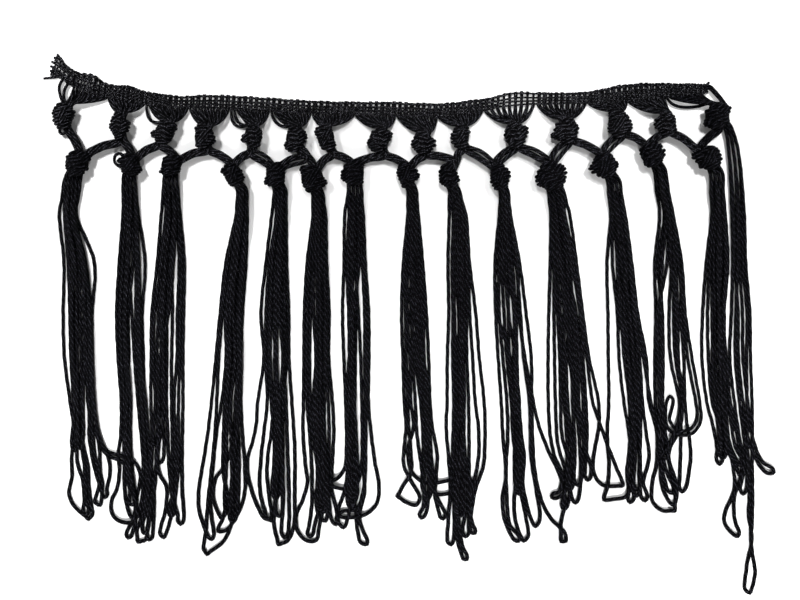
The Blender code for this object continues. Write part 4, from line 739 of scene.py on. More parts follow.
# Small loops of cord that stick out of a tassel's knot: tassel number, then points with x, y and z
KNOT_LOOPS = (
    (1, ((-127.5, 74.5, 4.4), (-130.2, 77.0, 4.4), (-132.3, 76.2, 4.0), (-132.6, 73.2, 3.6),
         (-130.4, 71.2, 3.4), (-127.0, 71.4, 3.6))),
    (5, ((-43.5, 62.6, 4.4), (-45.9, 62.0, 4.0), (-46.5, 60.8, 3.4), (-45.3, 60.1, 3.2), (-43.2, 61.0, 3.4))),
)


class Side(Enum):
    """The two ways in which a leg can lead from a fan's knot."""

    LEFT = -1
    RIGHT = 1


class Slant(Enum):
    """The two hands in which a knot can be tied: which way its turns lean."""

    RISING = 1
    FALLING = -1


def linear(hex_color: str) -> tuple:
    """Turn an sRGB hex colour into a linear colour with alpha.

    Args:
        hex_color: Colour such as "#151517".

    Returns:
        Red, green, blue and alpha as linear values.
    """
    values = [int(hex_color[i:i + 2], 16) / 255 for i in (1, 3, 5)]
    return (*(v / 12.92 if v <= 0.04045 else ((v + 0.055) / 1.055) ** 2.4 for v in values), 1.0)


def add_node(tree: bpy.types.NodeTree, kind: str, links: dict | None = None, **values) -> bpy.types.Node:
    """Add a node to a tree.

    Args:
        tree: The tree that gets the node.
        kind: The node's type name.
        links: Input names or numbers, each with the output socket that feeds it.
        **values: Properties of the node, or its inputs as name=value with spaces as underscores.

    Returns:
        The new node.
    """
    node = tree.nodes.new(kind)
    for name, value in values.items():
        if hasattr(node, name):
            setattr(node, name, value)
        else:
            node.inputs[name.replace("_", " ")].default_value = value
    for name, socket in (links or {}).items():
        tree.links.new(socket, node.inputs[name])
    return node


@dataclass(frozen=True)
class YarnFinish:
    """A matt black yarn or cord, twisted from plies, with short fibres and a painted highlight on the crests
    of its plies.
    """

    name: str
    base: str
    # The second colour is a painted highlight: a lighter colour on the crests of the plies that stands in for
    # the light they catch
    painted_highlight: str
    roughness: float
    twist_pitch_mm: float
    plies: int
    twist_depth_mm: float
    fibre_depth_mm: float
    fibre_scale: float = 2600.0
    patch_scale: float = 420.0
    painted_highlight_range: tuple = (0.44, 0.7)
    uneven: float = 0.08
    specular: float = 0.035
    sheen: float = 0.014
    sheen_roughness: float = 0.45
    sheen_color: str = "#8a8a98"

    def material(self) -> bpy.types.Material:
        """Make the material, whose pattern runs along each strand's own length.

        Returns:
            The material, which reads the map that holds mm along a strand and the share of a turn around it.
        """
        material = bpy.data.materials.new(self.name)
        material.use_nodes = True
        tree = material.node_tree
        shader = tree.nodes["Principled BSDF"]
        place = add_node(tree, "ShaderNodeUVMap", uv_map="UVMap")
        parts = add_node(tree, "ShaderNodeSeparateXYZ", {0: place.outputs[0]})
        # The plies wind round the strand: phase = turns along it plus turns around it
        turns = add_node(tree, "ShaderNodeMath", {0: parts.outputs[0]}, operation="DIVIDE")
        turns.inputs[1].default_value = self.twist_pitch_mm
        both = {0: parts.outputs[1], 2: turns.outputs[0]}
        phase = add_node(tree, "ShaderNodeMath", both, operation="MULTIPLY_ADD")
        phase.inputs[1].default_value = self.plies
        angle = add_node(tree, "ShaderNodeMath", {0: phase.outputs[0]}, operation="MULTIPLY")
        angle.inputs[1].default_value = 2 * math.pi
        wave = add_node(tree, "ShaderNodeMath", {0: angle.outputs[0]}, operation="SINE")
        groove = add_node(tree, "ShaderNodeMapRange", {"Value": wave.outputs[0]}, From_Min=-1.0)
        # Short fibres, and the larger patches that are rougher or smoother: noise in the object's own space
        coords = add_node(tree, "ShaderNodeTexCoord")
        space = {"Vector": coords.outputs["Object"]}
        fibres = add_node(tree, "ShaderNodeTexNoise", space, Scale=self.fibre_scale, Detail=3.0)
        patches = add_node(tree, "ShaderNodeTexNoise", space, Scale=self.patch_scale, Detail=2.0)
        # Painted highlight: the crests of the plies, where fibres stand up, are coloured lighter to stand in
        # for the little light that they catch
        crests = {0: groove.outputs[0], 1: fibres.outputs[0]}
        painted_highlight = add_node(tree, "ShaderNodeMath", crests, operation="MULTIPLY")
        share = add_node(
            tree, "ShaderNodeMapRange", {"Value": painted_highlight.outputs[0]},
            From_Min=self.painted_highlight_range[0], From_Max=self.painted_highlight_range[1],
        )
        color = add_node(tree, "ShaderNodeMix", {"Factor": share.outputs[0]}, data_type="RGBA")
        color.inputs[6].default_value = linear(self.base)
        color.inputs[7].default_value = linear(self.painted_highlight)
        rough = add_node(
            tree, "ShaderNodeMapRange", {"Value": patches.outputs[0]},
            To_Min=self.roughness - self.uneven, To_Max=self.roughness + self.uneven,
        )
        twist_bump = add_node(tree, "ShaderNodeBump", {"Height": groove.outputs[0]}, Strength=1.0)
        twist_bump.inputs["Distance"].default_value = self.twist_depth_mm * MM
        raised = {"Height": fibres.outputs[0], "Normal": twist_bump.outputs[0]}
        fibre_bump = add_node(tree, "ShaderNodeBump", raised, Strength=1.0)
        fibre_bump.inputs["Distance"].default_value = self.fibre_depth_mm * MM
        tree.links.new(color.outputs[2], shader.inputs["Base Color"])
        tree.links.new(rough.outputs[0], shader.inputs["Roughness"])
        tree.links.new(fibre_bump.outputs[0], shader.inputs["Normal"])
        shader.inputs["Specular IOR Level"].default_value = self.specular
        shader.inputs["Sheen Weight"].default_value = self.sheen
        shader.inputs["Sheen Roughness"].default_value = self.sheen_roughness
        shader.inputs["Sheen Tint"].default_value = linear(self.sheen_color)
        material.diffuse_color = linear(self.base)
        return material


# Fans and tassels are one black cord with two copies of its finish: a lighter one with brighter painted
# highlights on the fans and their knots, and a darker one, painted shade that offsets the front lamps'
# stronger light, on the tassels
DARKER_CORD_FINISH = YarnFinish("black_cord_darker_copy", "#020203", "#4a4a54", 0.72, 3.0, 3, 0.1, 0.06)
LIGHTER_CORD_FINISH = YarnFinish("black_cord_lighter_copy", "#050506", "#70707a", 0.72, 3.4, 3, 0.12, 0.06)
YARN_FINISH = YarnFinish("black_knitted_yarn", "#08080a", "#9a9aa2", 0.72, 1.6, 2, 0.08, 0.05)

# The materials by the names of their finishes, which main() fills
MATERIALS: dict = {}


@dataclass
class Strand:
    """A length of cord by its centre line and its radius, both in mm."""

    line: np.ndarray
    radius: np.ndarray
    closed: bool = False

    @classmethod
    def of(cls, points: Sequence, radius: float | Sequence = CORD / 2, step: float = STEP) -> "Strand":
        """Make a strand on a smooth curve through points.

        Args:
            points: Points in mm, each with x, y and z.
            radius: Radius in mm, one for all or one for each point.
            step: Distance between the samples of the curve.

        Returns:
            The strand.
        """
        line = smooth(points, step)
        radii = np.broadcast_to(np.asarray(radius, dtype=float), (len(points),))
        at = lengths(np.asarray(points, dtype=float))
        along = lengths(line) / max(lengths(line)[-1], 1e-9) * at[-1]
        return cls(line, np.interp(along, at, radii))


def lengths(line: np.ndarray) -> np.ndarray:
    """Distance from a line's start to each of its points.

    Args:
        line: Points of the line.

    Returns:
        One distance for each point.
    """
    return np.concatenate([[0.0], np.cumsum(np.linalg.norm(np.diff(line, axis=0), axis=1))])


def smooth(points: Sequence, step: float = STEP) -> np.ndarray:
    """Sample a centripetal Catmull-Rom curve through points.

    Args:
        points: Points with 2 or 3 coordinates.
        step: Distance between samples.

    Returns:
        The samples.
    """
    pts = np.array(points, dtype=float)
    pts = np.vstack([2 * pts[0] - pts[1], pts, 2 * pts[-1] - pts[-2]])
    samples = []
    for i in range(1, len(pts) - 2):
        p0, p1, p2, p3 = pts[i - 1:i + 3]
        t1 = np.linalg.norm(p1 - p0) ** 0.5
        t2 = t1 + np.linalg.norm(p2 - p1) ** 0.5
        t3 = t2 + np.linalg.norm(p3 - p2) ** 0.5
        count = max(1, int(math.ceil(np.linalg.norm(p2 - p1) / step)))
        t = np.linspace(t1, t2, count, endpoint=False)[:, None]
        a1 = (t1 - t) / t1 * p0 + t / t1 * p1
        a2 = (t2 - t) / (t2 - t1) * p1 + (t - t1) / (t2 - t1) * p2
        a3 = (t3 - t) / (t3 - t2) * p2 + (t - t2) / (t3 - t2) * p3
        b1 = (t2 - t) / t2 * a1 + t / t2 * a2
        b2 = (t3 - t) / (t3 - t1) * a2 + (t - t1) / (t3 - t1) * a3
        samples.append((t2 - t) / (t2 - t1) * b1 + (t - t1) / (t2 - t1) * b2)
    samples.append(pts[-2][None, :])
    return np.vstack(samples)


def round_foot(points: Sequence, radius: float) -> list:
    """Open the sharpest bend of a plan into a round turn.

    Args:
        points: Points of the plan.
        radius: Radius of the turn in mm.

    Returns:
        The points, with the turn's foot widened.
    """
    pts = [np.array(p, dtype=float) for p in points]
    # Bends that turn back less than this aren't the foot
    best, place = -0.2, None
    for i in range(1, len(pts) - 1):
        into = pts[i] - pts[i - 1]
        out = pts[i + 1] - pts[i]
        back = -np.dot(into, out) / (np.linalg.norm(into) * np.linalg.norm(out))
        if back > best:
            best, place = back, i
    if place is None:
        return points
    before, foot, after = pts[place - 1], pts[place], pts[place + 1]
    middle = (before - foot) / np.linalg.norm(before - foot) + (after - foot) / np.linalg.norm(after - foot)
    inward = middle / np.linalg.norm(middle)
    side = np.array([-inward[1], inward[0]])
    if np.dot(side, before - after) < 0:
        side = -side
    first = foot + inward * radius * 1.1 + side * radius
    second = foot + inward * radius * 1.1 - side * radius
    return [tuple(p) for p in pts[:place] + [first, foot, second] + pts[place + 1:]]


class CordPiece:
    """A shown piece made of many strands, joined into one mesh."""

    def __init__(self, name: str, node: str, finish: YarnFinish) -> None:
        """Start an empty piece.

        Args:
            name: Name of the shown object.
            node: The CAD node that it replaces.
            finish: The finish of its cord.
        """
        self.name = name
        self.node = node
        self.finish = finish
        self.strands: list = []
        self.cores: list = []

    def add(self, *strands: Strand) -> None:
        """Add strands to the piece.

        Args:
            *strands: The strands.
        """
        self.strands.extend(strands)

    def add_core(self, centre: tuple, size: tuple, lean: float) -> None:
        """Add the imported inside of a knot, as an ellipsoid.

        Args:
            centre: Its centre in mm.
            size: Its width, length and thickness in mm.
            lean: Its turn about the vertical in degrees.
        """
        self.cores.append((centre, size, lean))

    def _curve(self) -> bpy.types.Curve:
        """Lay all strands as splines of one bevelled curve, in mm.

        Returns:
            The curve.
        """
        curve = bpy.data.curves.new(self.name + "_route", "CURVE")
        curve.dimensions = "3D"
        curve.bevel_depth = 1.0
        curve.bevel_resolution = 2
        curve.use_fill_caps = True
        for strand in self.strands:
            spline = curve.splines.new("POLY")
            spline.points.add(len(strand.line) - 1)
            spline.points.foreach_set("co", np.column_stack([strand.line, np.ones(len(strand.line))]).ravel())
            spline.points.foreach_set("radius", np.ascontiguousarray(strand.radius))
            spline.use_cyclic_u = strand.closed
        return curve

    def _scale_map(self, mesh: bpy.types.Mesh) -> None:
        """Turn the map's share along each strand into mm along it.

        Args:
            mesh: The mesh of the bevelled curve, before anything is added to it.
        """
        # A bevel of resolution 2 has eight sides, and the caps' vertices come first
        sides = 8
        caps = sum(2 * sides for strand in self.strands if not strand.closed)
        total = np.ones(len(mesh.vertices))
        start = caps
        for strand in self.strands:
            count = sides * len(strand.line)
            total[start:start + count] = lengths(strand.line)[-1]
            start += count
        corner = np.empty(len(mesh.loops), dtype=np.int32)
        mesh.loops.foreach_get("vertex_index", corner)
        uv = np.empty(2 * len(mesh.loops))
        layer = mesh.uv_layers["UVMap"].data
        layer.foreach_get("uv", uv)
        uv = uv.reshape(-1, 2)
        uv[:, 0] *= total[corner]
        layer.foreach_set("uv", uv.ravel())

    def build(self) -> bpy.types.Object:
        """Make the mesh object, place it on its body and let it stand for its CAD node.

        Returns:
            The object.
        """
        curve = self._curve()
        guide = bpy.data.objects.new(self.name + "_route", curve)
        bpy.context.collection.objects.link(guide)
        graph = bpy.context.evaluated_depsgraph_get()
        mesh = bpy.data.meshes.new_from_object(guide.evaluated_get(graph))
        bpy.data.objects.remove(guide)
        bpy.data.curves.remove(curve)
        self._scale_map(mesh)
        bm = bmesh.new()
        bm.from_mesh(mesh)
        for centre, size, lean in self.cores:
            turn = Matrix.Translation(centre) @ Matrix.Rotation(math.radians(lean), 4, "Z")
            turn = turn @ Matrix.Diagonal((size[0] / 2, size[1] / 2, size[2] / 2, 1.0))
            bmesh.ops.create_uvsphere(bm, u_segments=16, v_segments=10, radius=1.0, matrix=turn)
        bmesh.ops.translate(bm, verts=bm.verts, vec=Vector((-MIDDLE[0], -MIDDLE[1], 0.0)))
        bmesh.ops.scale(bm, verts=bm.verts, vec=Vector((MM, MM, MM)))
        bm.to_mesh(mesh)
        bm.free()
        mesh.name = self.name
        mesh.shade_smooth()
        mesh.materials.clear()
        mesh.materials.append(MATERIALS[self.finish.name])
        item = bpy.data.objects.new(self.name, mesh)
        bpy.context.collection.objects.link(item)
        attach(item, "root")
        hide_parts(self.node)
        log.info("%s: %d strands, %d faces", self.name, len(self.strands), len(mesh.polygons))
        return item


class Pile:
    """Heights at which round cords lie on the table and on the cords below them."""

    def __init__(self) -> None:
        """Start with a bare table."""
        self.spots = np.empty((0, 3))

    def need(self, plan: np.ndarray, spots: np.ndarray) -> np.ndarray:
        """Least height of a cord's centre at each point of its plan.

        Args:
            plan: Points across the table.
            spots: Centre points of the cords that lie there already.

        Returns:
            One height for each point.
        """
        result = np.full(len(plan), CORD / 2)
        if not len(spots):
            return result
        low, high = plan.min(axis=0) - CORD, plan.max(axis=0) + CORD
        near = spots[np.all((spots[:, :2] > low) & (spots[:, :2] < high), axis=1)]
        if not len(near):
            return result
        # Squared distance at which two cords touch, worked out for a batch of points at a time
        reach = (CORD * PRESS) ** 2
        batch = 64
        for start in range(0, len(plan), batch):
            part = plan[start:start + batch]
            close = near[(near[:, 1] > part[:, 1].min() - CORD) & (near[:, 1] < part[:, 1].max() + CORD)]
            if not len(close):
                continue
            apart = (part[:, None, 0] - close[None, :, 0]) ** 2 + (part[:, None, 1] - close[None, :, 1]) ** 2
            rise = np.sqrt(np.clip(reach - apart, 0.0, None))
            lift = np.where(apart < reach, close[None, :, 2] + rise, 0.0)
            result[start:start + batch] = np.maximum(result[start:start + batch], lift.max(axis=1))
        return result

    def lay(self, plan: np.ndarray, floor: np.ndarray) -> np.ndarray:
        """Lay a cord down on the others and, past its turn, on itself.

        Args:
            plan: Points across the table.
            floor: Least height at each point.

        Returns:
            Height of the cord's centre at each point.
        """
        s = lengths(plan)
        foot = int(np.argmin(np.abs(s - s[-1] / 2)))
        z = np.maximum(self.need(plan, self.spots), floor)
        # The part past the foot lies on the part before it, which the climb to it may raise: so twice
        for _ in range(2):
            z = ramp(s, z)
            own = np.column_stack([plan, z])[:foot - 2]
            z[foot + 3:] = np.maximum(z[foot + 3:], self.need(plan[foot + 3:], own))
        z = ramp(s, z)
        # Cord doesn't kink, so each height is eased over its neighbours
        kernel = np.array([1, 2, 3, 2, 1]) / 9
        eased = np.convolve(np.pad(z, 2, mode="edge"), kernel, mode="valid")
        return np.maximum(eased, CORD / 2)

    def add(self, line: np.ndarray) -> None:
        """Remember a cord that has been laid.

        Args:
            line: Its centre line.
        """
        self.spots = np.vstack([self.spots, line])


def ramp(s: np.ndarray, z: np.ndarray) -> np.ndarray:
    """Raise heights so that a cord nowhere climbs faster than MAX_SLOPE.

    Args:
        s: Distance along the cord.
        z: Heights.

    Returns:
        The raised heights.
    """
    z = z.copy()
    steps = np.diff(s) * MAX_SLOPE
    for i in range(1, len(z)):
        z[i] = max(z[i], z[i - 1] - steps[i - 1])
    for i in range(len(z) - 2, -1, -1):
        z[i] = max(z[i], z[i + 1] - steps[i])
    return z


@dataclass
class Knot:
    """An overhand knot tied in a bundle: turns of cord round a packed core."""

    x: float
    y: float
    width: float
    length: float
    lean: float
    slant: Slant
    seed: int

    def place(self, u: np.ndarray, v: np.ndarray, z: np.ndarray) -> np.ndarray:
        """Put points of the knot's own plan on the table.

        Args:
            u: Distances across the knot.
            v: Distances up the knot.
            z: Heights.

        Returns:
            Points in mm.
        """
        turn = math.radians(self.lean)
        x = self.x + u * math.cos(turn) - v * math.sin(turn)
        y = self.y + u * math.sin(turn) + v * math.cos(turn)
        return np.column_stack([x, y, np.broadcast_to(z, np.shape(x))])

    def turns(self) -> list:
        """The turns that wrap round the bundle, seen as beads at its sides.

        Returns:
            Closed strands.
        """
        random = np.random.default_rng(self.seed)
        count = max(LEAST_TURNS, round(self.length / TURN_PITCH))
        angle = np.linspace(0.0, 2 * math.pi, TURN_SAMPLES, endpoint=False)
        radius = CORD / 2
        strands = []
        for k in range(count):
            # t runs from -1 at the knot's lower end to 1 at its upper one, and the knot narrows toward both
            t = 2 * (k + 0.5) / count - 1
            barrel = 1 - 0.6 * abs(t) ** 1.8
            # No knot is even: turns bulge, lie to one side and differ a little
            lump = 0.45 * math.sin(4.2 * t + 1.9 * self.seed)
            across = (self.width / 2 - radius) * barrel + lump + random.uniform(-0.18, 0.22)
            aside = 0.75 * math.sin(2.9 * t + 2.7 * self.seed) + random.uniform(-0.12, 0.12)
            rise = (KNOT_THICKNESS / 2 - radius) * (0.72 + 0.28 * barrel) + random.uniform(-0.12, 0.12)
            u = aside + across * np.sign(np.cos(angle)) * np.abs(np.cos(angle)) ** 0.86
            v = t * (self.length / 2 - radius * 0.7) + random.uniform(-0.15, 0.15)
            # Turns lean, most of all in the middle
            lean = (0.3 + 0.12 * t) * self.slant.value
            v = v + lean * u * (1 - 0.75 * abs(t)) + 0.5 * np.sin(angle) * t
            z = KNOT_THICKNESS / 2 + rise * np.sin(angle)
            thickness = np.full(len(angle), radius * random.uniform(0.92, 1.1))
            strands.append(Strand(self.place(u, v, z), thickness, True))
        return strands

    def strap(self) -> list:
        """The cords that cross the front of the knot before they go in.

        Returns:
            Open strands.
        """
        strands = []
        for k in range(STRAP_CORDS):
            shift = (k - (STRAP_CORDS - 1) / 2) * STRAP_PITCH
            # Each cord comes up at one side, crosses the front and goes down at the other
            angle = np.linspace(-0.62, 0.62, 11) * math.pi
            u = np.sin(angle) * (self.width / 2 - STRAP_INSET)
            v = -self.slant.value * np.sin(angle) * self.length * 0.18 + shift * (0.5 + 0.5 * np.cos(angle))
            z = KNOT_THICKNESS / 2 - 0.3 + (KNOT_THICKNESS / 2 - 0.1) * np.cos(angle)
            strands.append(Strand.of(self.place(u, v, z), CORD / 2 * 0.95, 0.9))
        return strands

    def fill(self, piece: CordPiece) -> None:
        """Add the knot to a piece.

        Args:
            piece: The piece.
        """
        piece.add(*self.turns(), *self.strap())
        # The core stays inside the turns
        size = (self.width * 0.86, self.length * 0.9, KNOT_THICKNESS * 0.84)
        piece.add_core((self.x, self.y, KNOT_THICKNESS / 2), size, self.lean)


@dataclass
class Leg:
    """The cords that lead from a fan's knot down to a tassel's knot."""

    fan: Fan
    head: Head
    side: Side
    parting: tuple
    meeting: tuple
    gap: float
    cords: int = 6

    def strands(self) -> list:
        """Cords of the leg, side by side in two layers.

        Returns:
            Open strands.
        """
        toward = self.side.value
        fan, head = self.fan, self.head
        parting, meeting = np.array(self.parting), np.array(self.meeting)
        run = (meeting - parting) / np.linalg.norm(meeting - parting)
        # The leg keeps its width below the parting and above the meeting, and bows up a little between them
        up = np.array([-run[1], run[0]]) * toward
        start = parting + up * LEG_WIDTH / 2
        end = meeting - up * LEG_WIDTH / 2
        middle = (start + end) / 2 + up * 0.8
        first = (fan.knot_x + 0.9 * toward, fan.knot_y - 0.15 * fan.knot_h)
        last = (head.knot_x - 0.9 * toward, head.knot_y + 0.1 * head.knot_h)
        plan = smooth([first, start, middle, end, last], 0.8)
        step = np.gradient(plan, axis=0)
        step /= np.linalg.norm(step, axis=1)[:, None]
        across = np.column_stack([step[:, 1], -step[:, 0]])
        share = lengths(plan) / lengths(plan)[-1]
        columns = self.cords // 2
        pitch = (LEG_WIDTH - LEG_CORD) / (columns - 0.6)
        strands = []
        for k in range(self.cords):
            column, layer = k // 2, k % 2
            shift = (column - (columns - 1) / 2) * pitch + (0.2 if layer else -0.2)
            # A gap opens between the first column of cords and the others, widest halfway
            opened = self.gap * (0.5 if column else -0.5) * np.sin(math.pi * share) ** 2
            line = plan + across * (shift + opened)[:, None]
            z = LEG_MIDDLE + (0.8 if layer else -0.8) + 0.25 * math.sin(1.7 * k) * np.sin(math.pi * share)
            strands.append(Strand(np.column_stack([line, z]), np.full(len(line), LEG_CORD / 2)))
        return strands


def openness(x: float | np.ndarray) -> np.ndarray:
    """How far the knitting stands open.

    Args:
        x: Places along the heading in mm.

    Returns:
        0 for shut knitting, 1 and more for open knitting.
    """
    places, values = zip(*OPENNESS)
    return np.interp(x, places, values)


class Heading:
    """The knitted band along the top, with its frayed left end."""

    def __init__(self) -> None:
        """Work out the band's two edges."""
        rows = np.array(HEADING)
        upper = smooth(rows[:, :2], 0.5)
        lower = smooth(rows[:, 2:], 0.5)
        share = np.linspace(0.0, 1.0, 601)
        self.upper = self._spread(upper, share)
        self.lower = self._spread(lower, share)

    @staticmethod
    def _spread(line: np.ndarray, share: np.ndarray) -> np.ndarray:
        """Read a line at shares of its length.

        Args:
            line: Points of the line.
            share: Shares of its length, between 0 and 1.

        Returns:
            One point for each share.
        """
        s = lengths(line)
        return np.column_stack([np.interp(share * s[-1], s, line[:, i]) for i in (0, 1)])

    def share_at(self, x: float) -> float:
        """Share of the band's length at which its lower edge has a given x.

        Args:
            x: Place along the heading in mm.

        Returns:
            The share, between 0 and 1.
        """
        return float(np.interp(x, self.lower[:, 0], np.linspace(0.0, 1.0, len(self.lower))))

    def point(self, share: np.ndarray, t: np.ndarray) -> np.ndarray:
        """Places on the band.

        Args:
            share: Share of its length.
            t: 0 at the upper edge and 1 at the lower edge.

        Returns:
            Points across the table.
        """
        places = np.linspace(0.0, 1.0, len(self.upper))
        upper = np.column_stack([np.interp(share, places, self.upper[:, i]) for i in (0, 1)])
        lower = np.column_stack([np.interp(share, places, self.lower[:, i]) for i in (0, 1)])
        return upper + (lower - upper) * np.reshape(t, (-1, 1))

    def chain(self, t: float, reach: float = 1.0) -> list:
        """A chain of stitches along the band: two strands that wind in mirrored turns.

        Args:
            t: Place across the band.
            reach: Share of the band's length that the chain covers, from the left.

        Returns:
            Two strands.
        """
        length = lengths(self.upper + (self.lower - self.upper) * t)[-1]
        s = np.arange(0.0, length * reach, STITCH / 5)
        base = self.point(s / length, np.full(len(s), t))
        step = np.gradient(base, axis=0)
        step /= np.linalg.norm(step, axis=1)[:, None]
        across = np.column_stack([-step[:, 1], step[:, 0]])
        # The knitting is uneven, and where it stands open the chain is drawn thin and narrow
        wander = 0.1 * np.sin(s * 0.37 + 9 * t) + 0.09 * np.sin(s * 2.1 + 5 * t) * np.sin(s * 0.83)
        opened = openness(base[:, 0])
        strands = []
        for hand in (-1, 1):
            angle = 2 * math.pi * s / STITCH + hand * 0.4
            shift = hand * (0.4 - 0.19 * opened + (0.24 - 0.14 * opened) * np.cos(angle)) + wander
            z = BAND_HEIGHT - 0.62 + 0.3 * np.sin(angle)
            line = np.column_stack([base + across * shift[:, None], z])
            strands.append(Strand(line, YARN / 2 - 0.09 * opened))
        return strands

    def backing(self, t: float) -> Strand:
        """The strand that holds a chain at the back of the band.

        Args:
            t: Place across the band.

        Returns:
            One strand.
        """
        share = np.linspace(0.0, 1.0, 150)
        base = self.point(share, np.full(len(share), t))
        return Strand(np.column_stack([base, np.full(len(base), YARN / 2)]), np.full(len(base), YARN / 2))

    def fray(self) -> list:
        """Loose ends of yarn at the left, and the short cords across the end.

        Returns:
            Strands.
        """
        strands = []
        for inner, outer in FRAY:
            middle = ((inner[0] + outer[0]) / 2 + 0.25, (inner[1] + outer[1]) / 2 - 0.2)
            points = [(*place, height) for place, height in zip((inner, middle, outer), FRAY_HEIGHTS)]
            strands.append(Strand.of(points, FRAY_RADII, 0.5))
        # Short cords wave across the band between its end and the first fan
        last = self.share_at(FANS[0].valley_x + 5.0)
        for k, share in enumerate(np.linspace(0.002, last, CROSSING_ENDS)):
            t = np.array([-0.05, 0.15, 0.35, 0.6, 0.85, 1.0])
            wave = share + 0.0016 * np.sin(5 * t + k)
            line = np.column_stack([self.point(wave, t), np.full(len(t), CROSSING_HEIGHT)])
            strands.append(Strand.of(line, CROSSING_RADIUS, 0.6))
        return strands

    def build(self) -> None:
        """Build the heading as one piece."""
        piece = CordPiece("knitted_heading", "heading", YARN_FINISH)
        for t in WALES:
            piece.add(*self.chain(t), self.backing(t))
        for t in LEFT_WALES:
            piece.add(*self.chain(t, self.share_at(LEFT_WALES_END)))
        piece.add(*self.fray())
        piece.build()


@dataclass
class FanKnot:
    """A fan of cords that hangs from the heading, its knot and the legs below it."""

    number: int
    heading: Heading
    free: list = field(default_factory=list)

    def cords(self) -> list:
        """The fan's cords, each going up into the heading, over its top and down again.

        Returns:
            Strands that start and end in the knot.
        """
        fan = FANS[self.number]
        ends = [row.valley_x for row in FANS] + [LAST_VALLEY[0] - LAST_FAN_INSET]
        after = ends[self.number + 1]
        first = fan.valley_x if self.number else fan.valley_x + FIRST_FAN_INSET
        width = after - first
        pairs = max(LEAST_PAIRS, round(width / PAIR_PITCH))
        strands = []
        for m in range(pairs):
            middle = first + width * (m + 0.5) / pairs
            half = width / pairs / 4 + 0.02
            left = self._half(fan, middle - half, (2 * m) / (2 * pairs - 1), 2 * m)
            right = self._half(fan, middle + half, (2 * m + 1) / (2 * pairs - 1), 2 * m + 1)
            line = np.vstack([left[::-1], right])
            radius = np.concatenate([self._radii(left)[::-1], self._radii(right)])
            strands.append(Strand.of(line, radius, 0.9))
        return strands

    def _radii(self, line: np.ndarray) -> np.ndarray:
        """Radii along a cord that is pressed flat in the band and full below it.

        Args:
            line: Points of the cord, from the top of the heading down.

        Returns:
            One radius for each point.
        """
        s = lengths(line)
        fullness = FAN_FULLNESS.get(self.number, 1.0)
        band = (0.64 - 0.07 * openness(line[:, 0])) * fullness
        return band + (CORD / 2 * 0.92 - band) * np.clip((s - 4.0 - 12.0 * (1 - fullness)) / 6.0, 0.0, 1.0)

    def _half(self, fan: Fan, x: float, u: float, rank: int) -> np.ndarray:
        """Half of a cord: from the top of the heading down into the knot.

        Args:
            fan: The fan.
            x: Place along the heading.
            u: Place across the fan, from 0 at the left to 1 at the right.
            rank: Number of the half, from the left.

        Returns:
            Points with x, y and z.
        """
        share = self.heading.share_at(x)
        opened = float(openness(x))
        # The tops are uneven, and the halves of a pair are pinched together where the knitting stands open
        top = 0.04 - 0.08 * abs(math.sin(2.3 * (rank // 2) + self.number))
        t = np.array([top, HOLE_ROW, 0.5, 0.8, 1.0])
        uneven = 0.85 + 0.5 * math.sin(5.1 * (rank // 2) + 1.7 * self.number)
        held = 1.5 * (1 - FAN_FULLNESS.get(self.number, 1.0))
        pinch = np.array([0.3, 0.1 + 0.27 * opened * uneven, 0.16 * opened * uneven, 0.1 * opened, 0.0])
        pinch[2:] += held
        pinch = pinch * (1 if rank % 2 == 0 else -1)
        band = self.heading.point(np.full(len(t), share), t)
        band[:, 0] += pinch
        band = np.column_stack([band, BAND_HEIGHTS])
        # Below the band the cords gather in five columns and three layers
        first = band[-1, :2]
        column = min(4, int(u * 5))
        layer = (0, 2, 1)[rank % 3]
        slot = (column - 2) * (NECK_WIDTH - CORD) / 4 + 0.25 * ((rank % 2) - 0.5)
        neck = np.array([fan.neck_x + slot, fan.knot_y + fan.knot_h / 2 - 0.2])
        inside = np.array([fan.knot_x + slot * 0.8, fan.knot_y + fan.knot_h * 0.15])
        slack = SLACK.get(self.number)
        # A cord hangs down from the band first and turns toward the knot lower down
        bend = first + np.array([0.36, 0.84]) * (neck - first)
        # The loose cords hang out at the left, and the next ones are drawn in a little
        if slack:
            out = slack[rank] if rank < len(slack) else -1.0 if rank < 5 else 0.0
            bend = bend + out * np.array([-1.1, -1.3])
        v = np.linspace(0.0, 1.0, 7)[1:]
        plan = (1 - v)[:, None] ** 2 * first + 2 * (v * (1 - v))[:, None] * bend + v[:, None] ** 2 * neck
        top = LOW_LAYER + LAYER_RISE * layer
        z = BAND_HEIGHTS[-1] + (top - BAND_HEIGHTS[-1]) * v ** 1.3
        z = z + (0.35 if rank % 2 else -0.2) * np.sin(math.pi * v)
        low = np.column_stack([plan, np.maximum(z, 0.95)])
        return np.vstack([band, low, [(*inside, top)]])

    def legs(self) -> list:
        """Legs that leave the knot.

        Returns:
            One leg for each lower knot that the fan's cords reach.
        """
        found = []
        for side, j in ((Side.LEFT, self.number - 1), (Side.RIGHT, self.number)):
            if 0 <= j < len(HEADS):
                gap = LEG_GAPS.get((self.number, side.value), 0.0)
                found.append(Leg(FANS[self.number], HEADS[j], side, PARTINGS[self.number], MEETINGS[j], gap))
        return found

    def build(self) -> None:
        """Build the fan as one piece."""
        fan = FANS[self.number]
        # The last fan holds the free loops, which take the tassels' darker copy of the cord's finish, painted
        # shade that offsets the front lamps' stronger light on them
        finish = DARKER_CORD_FINISH if self.free else LIGHTER_CORD_FINISH
        piece = CordPiece(f"fan_cords_{self.number + 1:02d}", f"fan_knot_{self.number + 1:02d}", finish)
        piece.add(*self.cords())
        for leg in self.legs():
            piece.add(*leg.strands())
        slant = Slant.RISING if self.number % 3 else Slant.FALLING
        Knot(fan.knot_x, fan.knot_y, fan.knot_w, fan.knot_h, fan.lean, slant, self.number).fill(piece)
        piece.add(*self.free)
        for number, points in LOOSE_CORDS:
            if number == self.number:
                piece.add(Strand.of(points, CORD / 2 * 0.92, 0.9))
        piece.build()


